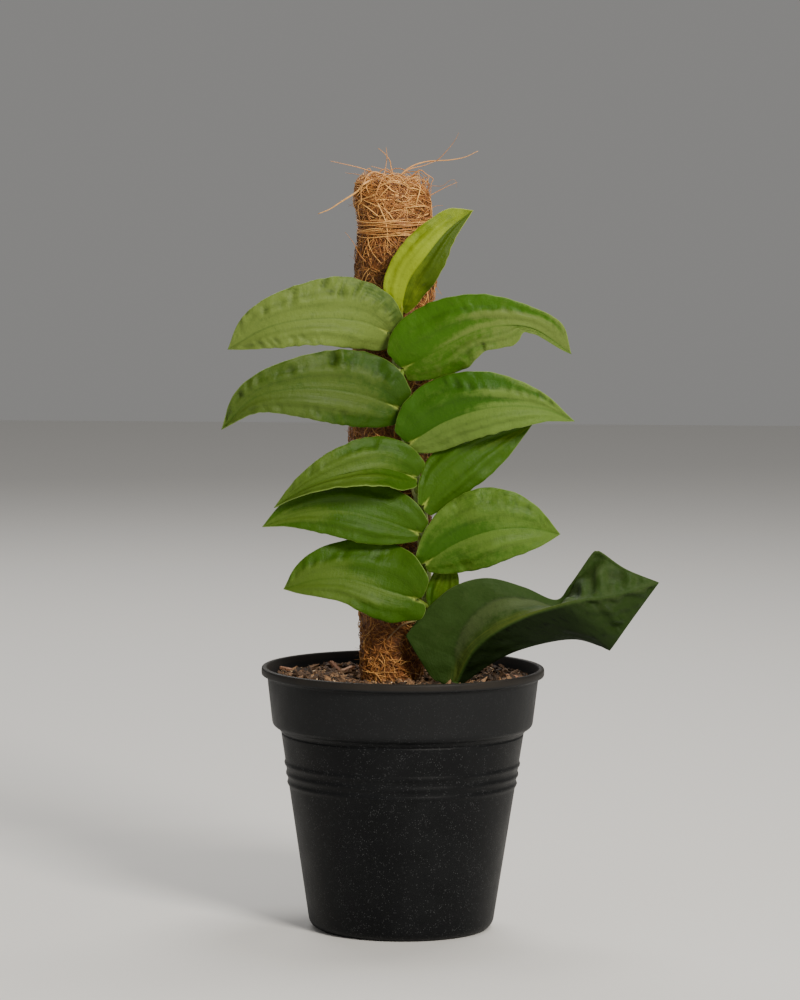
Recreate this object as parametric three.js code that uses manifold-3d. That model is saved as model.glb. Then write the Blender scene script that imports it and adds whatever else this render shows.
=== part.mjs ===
// Potted rhaphidophora korthalsii: a young shingling aroid that climbs a coir pole in a nursery pot.
// Millimetres, +Z up, origin at the centre of the pot's underside, the leaves face -Y.
import * as THREE from 'three';
import { mergeVertices } from 'three/addons/utils/BufferGeometryUtils.js';
import Module from 'manifold-3d';

const wasm = await Module();
wasm.setup();

// Gap kept between pieces that touch
const CLEAR = 0.3;

const POT = {
  height: 111.5,
  rimRadius: 60,
  bandTop: { radius: 57.5, z: 107 },
  bandFoot: { radius: 55.4, z: 88.6 },
  bodyTop: { radius: 51.6, z: 84 },
  cornerRadius: 5,
  floorRadius: 34.5,
  wall: 1.2,
  floor: 1.6,
  ridges: [62, 66, 70.4],
  ridgeHeight: 0.75,
  ridgeHalfWidth: 1.3,
  sides: 40,
};
const DRAIN = { count: 6, radius: 3.5, ring: 24, sides: 10 };
const SOIL = { level: 103.5, relief: 0.7, rings: 7, edgeStart: 46.8, edgeSlope: 0.173 };
// Bark chips lie on a ring of the potting mix, but not where the stem comes out of it
const CHIPS = { count: 18, nearest: 20, farthest: 50, stemX: 18, stemY: -12, stemClear: 10, rise: 0.4 };
// Radii of the plain holes in the potting mix
const HOLES = { sleeve: 12.9, core: 7.6, stem: 3.4, petiole: 2.55, below: 8, above: 6 };
const POLE = { x: -4.7, y: 5, foot: 20, top: 318, sides: 28 };
const CORE = { radius: 7, tip: 8, shoulder: 24, top: 308, sides: 12 };
// Coir radius at heights above the ground
const SLEEVE_RADII = [
  [20, 11.6], [96, 11.8], [104, 12.3], [112, 12.8], [122, 13.0], [134, 13.1], [148, 13.8], [162, 14.8],
  [177, 16.0], [192, 17.2], [206, 18.1], [220, 18.1], [234, 17.6], [248, 17.0], [262, 16.6], [275, 16.6],
  [285, 16.6], [291, 15.6], [294, 15.0], [300, 15.0], [303, 15.8], [309, 16.8], [315, 16.4], [318, 15.0],
];
const SLEEVE = { relief: 0.55, strandRadius: 0.5 };
// Short fibres stand off the coir between two heights, not behind the leaves or under the binding
const FIBRES = { count: 44, radius: 0.42, low: 112, high: 308, leavesTop: 272, clearOf: [284, 304] };
const BINDING = { low: 294.2, high: 299.8, turns: 3, inner: 15.35, depth: 1.2 };
const STEM = { radius: 2.6, sides: 8 };
const STEM_PATH = [
  [15.5, -9.5, 88], [15.2, -9, 106], [12.5, -8.5, 124], [9.8, -8.4, 141], [8.6, -9.8, 160],
  [7, -12.4, 180], [3.5, -15.2, 197], [0, -17, 215], [-2.8, -17, 235], [-3.2, -16.2, 249], [-2.4, -15.6, 257],
];
// Aerial roots: height where each leaves the stem, degrees it runs round the pole, drop
const ROOTS = [
  { z: 133, turn: -58, drop: 9 },
  { z: 173, turn: 46, drop: 7 },
  { z: 206, turn: -44, drop: 6 },
  { z: 228, turn: 48, drop: 8 },
  { z: 256, turn: -46, drop: 5 },
];

// Near its base each blade is rolled so that its upper lobe stands in front of the leaf above it
const BLADE = {
  thickness: 0.8, rows: 14, columns: 3, petioleRadius: 1.15, baseRoll: -14, baseShare: 0.4,
};
// Fractions of the midrib where a blade's half-widths are given, after the one at its base
const STATIONS = [0.12, 0.3, 0.5, 0.7, 0.86];

// Each leaf: midrib points, half-widths of the upper and lower half at the base and the stations,
// how far the base lobes reach back, and the angles of each half: at the midrib towards the viewer,
// then bent back by curl towards the margin; roll tips the upper margin away from the viewer.
const LEAVES = [
  {
    name: 'leaf_left_1', joins: 248, colour: 0x76944f,
    midrib: [[-7.5, -19, 254.5], [-18.5, -24, 259], [-36, -29, 260.5], [-56, -30, 257], [-74, -25, 247]],
    upper: { widths: [12.5, 15.5, 18, 15.2, 11.6, 7.3], lobe: 5, fold: 16, curl: 40, wave: [0.8, 3, 0] },
    lower: { widths: [10.5, 12, 12, 11, 9.8, 5.5], lobe: 3, fold: 16, curl: 40, wave: [0.6, 2.5, 1] },
    roll: 4,
  },
  {
    name: 'leaf_left_2', joins: 217, colour: 0x6b8c45,
    midrib: [[-3, -20.5, 223], [-19, -26, 229], [-41.5, -31, 231.5], [-62, -31, 227.5], [-76.5, -25, 213.5]],
    upper: { widths: [13, 16.5, 17.8, 13.8, 9.2, 5.2], lobe: 3.5, fold: 16, curl: 40, wave: [1.2, 4, 0] },
    lower: { widths: [10, 13.5, 14.5, 12.6, 8.2, 3.8], lobe: 2, fold: 16, curl: 40, wave: [0.6, 2.5, 1] },
    roll: 4,
  },
  {
    name: 'leaf_left_3', joins: 188, colour: 0x6f9142,
    midrib: [[4, -21, 194], [-9, -27, 198], [-24.5, -31, 196], [-39, -31, 191], [-54.5, -25, 181]],
    upper: { widths: [10, 12.2, 13.8, 11.3, 6.8, 3.3], lobe: 2.2, fold: 10, curl: 40, wave: [0.6, 3, 0] },
    lower: { widths: [6, 10, 12, 9, 5.6, 2], lobe: 1, fold: 58, curl: 10, wave: [0.5, 2.5, 1] },
    roll: 4,
  },
  {
    name: 'leaf_left_4', joins: 164, colour: 0x5f8a2f,
    midrib: [[6, -21.5, 170.5], [-6.5, -24, 175.5], [-24.5, -25.5, 180], [-42, -24, 179], [-59.5, -20, 172.5]],
    upper: { widths: [9, 12.5, 15, 14, 10, 5.5], lobe: 1.8, fold: 12, curl: 40, wave: [0.6, 3, 0] },
    lower: { widths: [4.5, 8.5, 12, 11.5, 8.2, 3.5], lobe: 0.6, fold: 16, curl: 40, wave: [0.5, 2.5, 1] },
    roll: 12,
  },
  {
    name: 'leaf_left_5', joins: 138, colour: 0x668f38,
    midrib: [[5, -23, 143], [-8, -23.5, 147], [-22.5, -23, 151], [-36.5, -21.5, 150.5], [-50.5, -17, 146]],
    upper: { widths: [14.5, 18, 20, 17.5, 13, 7.5], lobe: 3, fold: 14, curl: 40, wave: [0.6, 3, 0] },
    lower: { widths: [10, 12.5, 12.8, 10.5, 8, 4.7], lobe: 4.5, fold: 16, curl: 40, wave: [0.5, 2.5, 1] },
    roll: 12,
  },
  {
    name: 'leaf_top', joins: 257, colour: 0xa0b040,
    midrib: [[-2, -17.6, 263.5], [1, -21.5, 275.5], [8, -25, 286], [17, -23, 297], [28, -18, 305.5]],
    upper: { widths: [6, 8.8, 10.8, 11, 8.7, 6.2], lobe: 0.5, fold: 16, curl: 40, wave: [0.4, 3, 0] },
    lower: { widths: [4, 7.6, 10, 8.8, 5.5, 2.7], lobe: 0.5, fold: 16, curl: 40, wave: [0.4, 2.5, 1] },
    roll: 0,
  },
  {
    name: 'leaf_right_1', joins: 233, colour: 0x5f9030,
    midrib: [[-0.5, -20, 239.5], [11.5, -26, 246.5], [31, -31, 256.5], [51.5, -31, 257.5], [69.5, -24, 248]],
    upper: { widths: [15, 18.5, 19, 14.3, 8, 6.3], lobe: 4, fold: 16, curl: 40, wave: [0.6, 3, 0] },
    lower: { widths: [7.5, 10.5, 13.2, 10.3, 8, 1.4], lobe: 2, fold: 16, curl: 40, wave: [1.0, 2.5, 1] },
    roll: 0,
  },
  {
    name: 'leaf_right_2', joins: 202, colour: 0x5a8c2c,
    midrib: [[2.5, -21, 208.5], [17, -27, 218], [35.5, -31, 224], [56, -30, 224], [71, -24, 218]],
    upper: { widths: [12.5, 16, 18.2, 15.5, 9.3, 3.5], lobe: 3.5, fold: 16, curl: 40, wave: [0.5, 3, 0] },
    lower: { widths: [6.5, 10.7, 11.8, 11.3, 8.5, 4.2], lobe: 1.5, fold: 16, curl: 40, wave: [0.5, 2.5, 1] },
    roll: 0,
  },
  {
    name: 'leaf_right_3', joins: 176, colour: 0x6a962e,
    midrib: [[8.5, -22, 182.5], [15.5, -22.5, 193], [26.5, -21.5, 203], [40, -19, 210.5], [53.5, -16, 216]],
    upper: { widths: [4, 7.2, 11, 10, 7, 3.8], lobe: 1, fold: 10, curl: 40, wave: [0.5, 3, 0] },
    lower: { widths: [7, 10, 12, 12.5, 9.7, 5], lobe: 2.5, fold: 10, curl: 40, wave: [0.5, 2.5, 1] },
    roll: 10,
  },
  {
    name: 'leaf_right_4', joins: 151, colour: 0x69962f,
    midrib: [[9.5, -21, 158], [21, -25, 166.5], [36, -28.5, 172.5], [51.5, -27, 173.5], [65.5, -22, 170.5]],
    upper: { widths: [7, 11, 16.5, 18.6, 14, 6.3], lobe: 2.5, fold: 14, curl: 40, wave: [0.6, 5, 0] },
    lower: { widths: [6, 11.5, 14.8, 14.8, 12, 7.5], lobe: 1.5, fold: 14, curl: 40, wave: [0.5, 2.5, 1] },
    roll: 0,
  },
  {
    name: 'leaf_small_low', joins: 133, colour: 0x6f8a35,
    midrib: [[14, -14, 137], [16, -15, 143], [17.5, -15.5, 149], [18.5, -15, 155], [19.5, -14, 160]],
    upper: { widths: [2, 4, 5.5, 5.3, 4, 2], lobe: 0.5, fold: 14, curl: 40, wave: [0, 3, 0] },
    lower: { widths: [2, 3.8, 5, 4.8, 3.6, 2], lobe: 0.5, fold: 14, curl: 40, wave: [0, 3, 0] },
    roll: 0,
  },
];

// The large dark leaf at the soil twists along its length, so its margins are given as curves
const BIG_LEAF = {
  name: 'leaf_big_dark', colour: 0x2f4a2c, rows: 20,
  midrib: [
    [21.5, -17, 105.2], [30, -23.5, 122.5], [46.5, -30, 135], [67.5, -31, 142.5], [87, -28, 145.5],
    [107, -22, 150.5],
  ],
  upper: [
    [19.5, -16.5, 105.4], [12.5, -15.5, 108.5], [1, -17, 126.5], [10, -19, 138.5], [21, -20, 148],
    [35, -18, 151.5], [50.5, -15, 147.5], [64, -13, 142], [70, -14, 148.5], [81, -18, 163],
    [93, -20, 156], [107, -22, 150.5],
  ],
  lower: [
    [23.5, -17.5, 105.4], [29, -19, 109.5], [37, -21, 115.5], [47, -23, 121], [60.5, -23, 125],
    [74, -21, 126.5], [87.5, -19, 121.5], [92.5, -19, 131.5], [99.5, -20, 142], [107, -22, 150.5],
  ],
  // How far each half sags away from the viewer between the midrib and its margin
  upperSag: 3, lowerSag: -1,
  petiole: [[22.4, -17.6, 107.5], [21.3, -16.6, 103], [20.3, -15, 96], [19.5, -14, 89]],
  petioleRadius: 1.75,
};

// Long stray fibres at the top of the coir, root first
const STRANDS = [
  [[-16, 4, 312], [-20.5, 1, 316], [-21.5, 0, 310], [-28, -2, 306], [-36.5, -4, 302]],
  [[-15, 6, 314], [-19, 4, 321], [-26, 3, 324], [-30.5, 2, 325.5]],
  [[-10, -4, 311], [-6.5, -2, 322], [-10, -2, 330.5]],
  [[-9, 14, 311], [-6, 10, 324], [-6.5, 9, 331]],
  [[2.5, -2, 311], [5, 1, 321.5], [17, 0, 324], [27, -2, 327], [33, -3, 329.5]],
  [[6, 3, 312], [12.5, 2, 315], [12, 0, 309], [12.5, -3, 303]],
  [[5, 12, 308], [15, 14, 313.5], [21.5, 15, 316.5]],
  [[-12, 14, 308], [-18, 20, 318], [-26, 25, 320]],
  [[-2, 16, 310], [2, 24, 319], [8, 31, 317]],
];

// A repeatable stream of numbers between 0 and 1
function seeded(seed) {
  let state = seed >>> 0;
  return () => {
    state = (Math.imul(state, 1664525) + 1013904223) >>> 0;
    return state / 4294967296;
  };
}

// Closed body from points and triangles, with points that meet joined and slivers dropped
function closedGeometry(positions, triangles) {
  const loose = new THREE.BufferGeometry();
  loose.setAttribute('position', new THREE.Float32BufferAttribute(positions, 3));
  loose.setIndex(triangles);
  const merged = mergeVertices(loose, 1e-4);
  const kept = [];
  for (let i = 0; i < merged.index.count; i += 3) {
    const [a, b, c] = [0, 1, 2].map((k) => merged.index.getX(i + k));
    if (a !== b && b !== c && c !== a) kept.push(a, b, c);
  }
  merged.setIndex(kept);
  return merged;
}

function withoutSlivers(geometry) {
  return closedGeometry(Array.from(geometry.attributes.position.array), Array.from(geometry.index.array));
}

function toSolid(geometry) {
  return new wasm.Manifold(new wasm.Mesh({
    numProp: 3,
    vertProperties: new Float32Array(geometry.attributes.position.array),
    triVerts: new Uint32Array(geometry.index.array),
  }));
}

function fromSolid(solid) {
  const mesh = solid.getMesh();
  return closedGeometry(Array.from(mesh.vertProperties), Array.from(mesh.triVerts));
}

// Solid of revolution round Z from [radius, z] points that start and end on the axis
function turned(profile, sides) {
  const points = profile.map(([r, z]) => new THREE.Vector2(r, z));
  const lathe = new THREE.LatheGeometry(points, sides);
  lathe.rotateX(Math.PI / 2);
  return withoutSlivers(lathe);
}

// Points of an arc in the radius-height plane, angles in degrees from outwards to up
function arc(radius, z, size, from, to, steps) {
  return Array.from({ length: steps + 1 }, (_, i) => {
    const angle = THREE.MathUtils.degToRad(from + ((to - from) * i) / steps);
    return [radius + size * Math.cos(angle), z + size * Math.sin(angle)];
  });
}

function curveThrough(points) {
  return new THREE.CatmullRomCurve3(points.map((p) => new THREE.Vector3(...p)), false, 'catmullrom', 0.5);
}

// Value between [position, value] pairs, along straight stretches
function between(pairs, at) {
  if (at <= pairs[0][0]) return pairs[0][1];
  for (let i = 1; i < pairs.length; i += 1) {
    const [x0, y0] = pairs[i - 1];
    const [x1, y1] = pairs[i];
    if (at <= x1) return y0 + ((y1 - y0) * (at - x0)) / (x1 - x0);
  }
  return pairs[pairs.length - 1][1];
}

// Round rod along points, its radius a function of the fraction of its length
function rod(points, radiusAt, steps, sides) {
  const curve = curveThrough(points);
  const frames = curve.computeFrenetFrames(steps, false);
  const positions = [];
  const triangles = [];
  for (let i = 0; i <= steps; i += 1) {
    const centre = curve.getPointAt(i / steps);
    const radius = radiusAt(i / steps);
    for (let j = 0; j < sides; j += 1) {
      const angle = (2 * Math.PI * j) / sides;
      const point = centre.clone();
      point.addScaledVector(frames.normals[i], radius * Math.cos(angle));
      point.addScaledVector(frames.binormals[i], radius * Math.sin(angle));
      positions.push(point.x, point.y, point.z);
    }
  }
  for (let i = 0; i < steps; i += 1) {
    for (let j = 0; j < sides; j += 1) {
      const [a, b] = [i * sides + j, i * sides + ((j + 1) % sides)];
      triangles.push(a, b, b + sides, a, b + sides, a + sides);
    }
  }
  for (let j = 1; j < sides - 1; j += 1) {
    const last = steps * sides;
    triangles.push(0, j + 1, j, last, last + j, last + j + 1);
  }
  return closedGeometry(positions, triangles);
}

function potProfile() {
  const { wall, floor, floorRadius, cornerRadius, bodyTop, bandFoot, bandTop, rimRadius, height } = POT;
  const lean = 8.9;
  const corner = arc(floorRadius, cornerRadius, cornerRadius, -90, -lean, 4);
  const [footRadius, footZ] = corner[corner.length - 1];
  const bodyRadius = (z) => footRadius + ((bodyTop.radius - footRadius) * (z - footZ)) / (bodyTop.z - footZ);
  const ridges = POT.ridges.flatMap((z) => {
    const half = POT.ridgeHalfWidth;
    const crest = bodyRadius(z) + POT.ridgeHeight;
    return [[bodyRadius(z - half), z - half], [crest, z - 0.4], [crest, z + 0.4], [bodyRadius(z + half), z + half]];
  });
  return [
    [0, 0],
    ...corner,
    ...ridges,
    [bodyTop.radius, bodyTop.z],
    [bodyTop.radius + 0.6, bodyTop.z + 1.6],
    [bandFoot.radius - 0.8, bandFoot.z - 1.5],
    [bandFoot.radius, bandFoot.z],
    [bandTop.radius, bandTop.z],
    [rimRadius - 0.4, height - 2.9],
    [rimRadius, height - 1.7],
    [rimRadius - 0.4, height - 0.5],
    [rimRadius - 1.2, height],
    [rimRadius - 2.6, height - 0.4],
    [bandTop.radius - wall, bandTop.z],
    [bandFoot.radius - wall, bandFoot.z + 0.4],
    [bodyTop.radius - wall, bodyTop.z + 0.4],
    [footRadius - wall, footZ + 1],
    [floorRadius, floor],
    [0, floor],
  ];
}

function pot() {
  let solid = toSolid(turned(potProfile(), POT.sides));
  const hole = new THREE.CylinderGeometry(DRAIN.radius, DRAIN.radius, 4 * POT.floor, DRAIN.sides);
  hole.rotateX(Math.PI / 2);
  hole.deleteAttribute('normal');
  hole.deleteAttribute('uv');
  for (let i = 0; i < DRAIN.count; i += 1) {
    const angle = (2 * Math.PI * i) / DRAIN.count;
    const placed = mergeVertices(hole.clone());
    placed.translate(DRAIN.ring * Math.cos(angle), DRAIN.ring * Math.sin(angle), 0);
    solid = solid.subtract(toSolid(placed));
  }
  return fromSolid(solid);
}

// Height of the potting mix: two low waves that cross, and a fall towards the pot's wall
function soilHeight(x, y) {
  const rolling = Math.sin(x / 7 + 1) * Math.cos(y / 8.5) + 0.6 * Math.sin((x + 2 * y) / 5);
  const fall = SOIL.edgeSlope * Math.max(0, Math.hypot(x, y) - SOIL.edgeStart);
  return SOIL.level + SOIL.relief * rolling - fall;
}

// Plain hole in the soil round a rod or pole that stands in it
function plainHole(points, radius, sides) {
  return toSolid(rod(points, () => radius, 2, sides));
}

function barkChip(random) {
  const chip = new THREE.BoxGeometry(3 + 6 * random(), 2 + 3 * random(), 1.2 + 1.2 * random());
  chip.deleteAttribute('normal');
  chip.deleteAttribute('uv');
  chip.rotateX((random() - 0.5) * 0.7);
  chip.rotateY((random() - 0.5) * 0.5);
  chip.rotateZ(random() * Math.PI);
  return mergeVertices(chip);
}

function soil() {
  const side = [
    [0, POT.floor + CLEAR],
    [POT.floorRadius - 1, POT.floor + CLEAR],
    [POT.floorRadius + POT.cornerRadius - POT.wall - CLEAR - 0.9, POT.cornerRadius + 1.5],
    [POT.bodyTop.radius - POT.wall - CLEAR - 0.15, POT.bodyTop.z],
    [POT.bandFoot.radius - POT.wall - CLEAR - 0.15, POT.bandFoot.z + 1],
    [POT.bandFoot.radius - POT.wall - CLEAR + 1.0, SOIL.level - 2.2],
  ];
  const edgeRadius = side[side.length - 1][0];
  const top = Array.from({ length: SOIL.rings + 1 }, (_, i) => [edgeRadius * (1 - i / SOIL.rings), SOIL.level]);
  const body = turned([...side, ...top], POT.sides);
  const place = body.attributes.position;
  for (let i = 0; i < place.count; i += 1) {
    if (place.getZ(i) > SOIL.level - 0.01) place.setZ(i, soilHeight(place.getX(i), place.getY(i)));
  }
  let solid = toSolid(body);
  const random = seeded(17);
  for (let i = 0; i < CHIPS.count; i += 1) {
    const angle = 2 * Math.PI * random();
    const radius = CHIPS.nearest + (CHIPS.farthest - CHIPS.nearest) * random();
    const chip = barkChip(random);
    const [x, y] = [radius * Math.cos(angle), radius * Math.sin(angle)];
    if (Math.hypot(x - CHIPS.stemX, y - CHIPS.stemY) < CHIPS.stemClear) continue;
    chip.translate(x, y, soilHeight(x, y) + CHIPS.rise);
    solid = solid.add(toSolid(chip));
  }
  const mouth = SOIL.level + HOLES.above;
  const bottom = POLE.foot - HOLES.below;
  const sleeveHole = turned([[0, bottom], [HOLES.sleeve, bottom + 4], [HOLES.sleeve, mouth], [0, mouth]], 26);
  const tip = CORE.tip - 2;
  const coreHole = turned([[0, tip], [HOLES.core, POLE.foot - 1], [HOLES.core, POLE.foot], [0, POLE.foot]], 26);
  for (const hole of [sleeveHole, coreHole]) {
    hole.translate(POLE.x, POLE.y, 0);
    solid = solid.subtract(toSolid(hole));
  }
  const [[stemX, stemY, stemFoot], above] = STEM_PATH;
  const stemLine = [[stemX, stemY, stemFoot - 3], [stemX, stemY, stemFoot + 8], [above[0], above[1], mouth]];
  solid = solid.subtract(plainHole(stemLine, HOLES.stem, 10));
  const petioleLine = BIG_LEAF.petiole.slice().reverse();
  const [deepX, deepY, deepZ] = petioleLine[0];
  petioleLine[0] = [deepX, deepY, deepZ - 2];
  solid = solid.subtract(plainHole(petioleLine, HOLES.petiole, 8));
  return fromSolid(solid);
}

function poleCore() {
  const { radius, tip, shoulder, top, sides } = CORE;
  const stake = turned([[0, tip], [radius, shoulder], [radius, top - 1], [radius - 1, top], [0, top]], sides);
  stake.translate(POLE.x, POLE.y, 0);
  return stake;
}

function sleeveRadius(z) {
  return between(SLEEVE_RADII, z);
}

// Lumps of the wrapped coir, none in the soil or under the binding
function sleeveRelief(z, angle) {
  const aboveSoil = THREE.MathUtils.smoothstep(z, SOIL.level + 2, SOIL.level + 10);
  const offBinding = Math.min(1, Math.abs(z - (BINDING.low + BINDING.high) / 2) / 8) ** 2;
  const lumps = Math.sin(3 * angle + z / 11) + Math.sin(5 * angle - z / 6.5 + 1) * 0.7;
  return SLEEVE.relief * aboveSoil * offBinding * lumps;
}

// Tube of coir round the stake, its section loop closed and turned with the relief added outside
function sleeveBody() {
  const heights = SLEEVE_RADII.map(([z]) => z);
  const inner = CORE.radius + CLEAR;
  const loop = heights.map((z) => ({ z, outer: true }));
  loop.push({ z: POLE.top - 1, outer: false }, { z: 200, outer: false }, { z: POLE.foot, outer: false });
  const positions = [];
  const triangles = [];
  loop.forEach(({ z, outer }) => {
    for (let j = 0; j < POLE.sides; j += 1) {
      const angle = (2 * Math.PI * j) / POLE.sides;
      const radius = outer ? sleeveRadius(z) + sleeveRelief(z, angle) : inner / Math.cos(Math.PI / POLE.sides);
      const ragged = z >= POLE.top - 1 ? 1.4 * Math.sin(4 * angle) + Math.sin(7 * angle + 2) : 0;
      positions.push(POLE.x + radius * Math.cos(angle), POLE.y + radius * Math.sin(angle), z + ragged);
    }
  });
  for (let i = 0; i < loop.length; i += 1) {
    const next = (i + 1) % loop.length;
    for (let j = 0; j < POLE.sides; j += 1) {
      const right = (j + 1) % POLE.sides;
      const [a, b] = [i * POLE.sides + j, i * POLE.sides + right];
      const [c, d] = [next * POLE.sides + right, next * POLE.sides + j];
      triangles.push(a, b, c, a, c, d);
    }
  }
  return closedGeometry(positions, triangles);
}

// Short fibre that leaves the coir nearly along its surface
function shortFibre(random) {
  const z = FIBRES.low + (FIBRES.high - FIBRES.low) * random();
  const angle = 2 * Math.PI * random();
  const behindLeaves = Math.cos(angle + Math.PI / 2) > -0.05 && z < FIBRES.leavesTop;
  const underBinding = z > FIBRES.clearOf[0] && z < FIBRES.clearOf[1];
  const way = random() < 0.5 ? -1 : 1;
  const rise = 6 * (random() - 0.5);
  const swing = way * (0.35 + 0.2 * random());
  const stand = 2.2 + 2.4 * random();
  if (behindLeaves || underBinding) return null;
  const at = (turn, lift, out) => {
    const r = sleeveRadius(z + lift) + out;
    return [POLE.x + r * Math.cos(angle + turn), POLE.y + r * Math.sin(angle + turn), z + lift];
  };
  return [at(0, 0, -2.4), at(swing * 0.4, rise * 0.4, 0.6), at(swing, rise, stand)];
}

function coirSleeve() {
  const random = seeded(5);
  let solid = toSolid(sleeveBody());
  for (let i = 0; i < FIBRES.count; i += 1) {
    const points = shortFibre(random);
    if (points) solid = solid.add(toSolid(rod(points, () => FIBRES.radius, 3, 3)));
  }
  for (const points of STRANDS) {
    const taper = (t) => SLEEVE.strandRadius * (1 - 0.3 * t);
    solid = solid.add(toSolid(rod(points, taper, 7, 3)));
  }
  return fromSolid(solid);
}

// Thread wound round the coir: a ring with one bead for each turn
function binding() {
  const { low, high, turns, inner, depth } = BINDING;
  const pitch = (high - low) / turns;
  const beads = Array.from({ length: turns }, (_, i) => [
    [inner + depth * 0.45, low + i * pitch],
    [inner + depth, low + (i + 0.5) * pitch],
  ]).flat();
  const section = [[inner, low], ...beads, [inner + depth * 0.45, high], [inner, high], [inner, low]];
  const ring = turned(section, POLE.sides);
  ring.translate(POLE.x, POLE.y, 0);
  return ring;
}

const stemCurve = curveThrough(STEM_PATH);

// Point of the stem's centre line at a height
function stemAt(z) {
  let [low, high] = [0, 1];
  for (let i = 0; i < 30; i += 1) {
    const middle = (low + high) / 2;
    if (stemCurve.getPoint(middle).z < z) low = middle;
    else high = middle;
  }
  return stemCurve.getPoint(low);
}

// Aerial root that leaves the stem and hugs the pole on one side
function aerialRoot({ z, turn, drop }) {
  const start = stemAt(z);
  const heading = Math.atan2(start.y - POLE.y, start.x - POLE.x);
  const points = [[start.x, start.y, start.z]];
  for (const [share, out] of [[0.45, 2.6], [0.75, 2.1], [1, 2.1]]) {
    const angle = heading + THREE.MathUtils.degToRad(turn * share);
    const height = z - drop * share * share;
    const radius = sleeveRadius(height) + out;
    points.push([POLE.x + radius * Math.cos(angle), POLE.y + radius * Math.sin(angle), height]);
  }
  return rod(points, (t) => 0.85 - 0.35 * t, 6, 4);
}

function stem() {
  const [foot, tip] = [STEM_PATH[0][2], STEM_PATH[STEM_PATH.length - 1][2]];
  const joins = LEAVES.map((leaf) => (leaf.joins - foot) / (tip - foot));
  const swell = (t) => Math.max(...joins.map((join) => Math.exp(-(((t - join) * 60) ** 2))));
  let solid = toSolid(rod(STEM_PATH, (t) => STEM.radius * (1 - 0.12 * t) + 0.15 * swell(t), 34, STEM.sides));
  for (const root of ROOTS) solid = solid.add(toSolid(aerialRoot(root)));
  return fromSolid(solid);
}

// Blade as a grid of points: each row runs from the upper margin over the midrib to the lower margin.
// Rows are closed to one point at the base and at the tip.
function bladeSolid(grid, outward) {
  const rows = grid.length;
  const width = grid[0].length;
  const middle = (width - 1) / 2;
  const normals = grid.map((row, i) => row.map((_, j) => {
    const [i0, i1] = [Math.max(i - 1, 0), Math.min(i + 1, rows - 1)];
    const [j0, j1] = [Math.max(j - 1, 0), Math.min(j + 1, width - 1)];
    const along = grid[i1][j].clone().sub(grid[i0][j]);
    const across = grid[i][j1].clone().sub(grid[i][j0]);
    const normal = along.cross(across);
    return normal.length() > 1e-6 ? normal.normalize() : null;
  }));
  const normalAt = (i, j) => normals[i][j]
    ?? (i === 0 ? normals[1][middle] : normals[rows - 2][middle]);
  const positions = [];
  const index = [];
  for (const side of [1, -1]) {
    for (let i = 0; i < rows; i += 1) {
      for (let j = 0; j < width; j += 1) {
        const end = i === 0 || i === rows - 1;
        const column = end ? middle : j;
        const normal = normalAt(i, column);
        const facing = normal.dot(outward) < 0 ? -1 : 1;
        const point = grid[i][column].clone();
        point.addScaledVector(normal, (side * facing * BLADE.thickness) / 2);
        positions.push(point.x, point.y, point.z);
      }
    }
  }
  const back = rows * width;
  const flip = normalAt(2, middle).dot(outward) < 0;
  const push = (a, b, c) => (flip ? index.push(a, c, b) : index.push(a, b, c));
  for (let i = 0; i < rows - 1; i += 1) {
    for (let j = 0; j < width - 1; j += 1) {
      const [a, b] = [i * width + j, (i + 1) * width + j];
      push(a, b, b + 1);
      push(a, b + 1, a + 1);
      push(back + a, back + b + 1, back + b);
      push(back + a, back + a + 1, back + b + 1);
    }
    const [a, b] = [i * width, (i + 1) * width];
    const [c, d] = [a + width - 1, b + width - 1];
    push(a, back + a, back + b);
    push(a, back + b, b);
    push(c, d, back + d);
    push(c, back + d, back + c);
  }
  return closedGeometry(positions, index);
}

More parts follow.
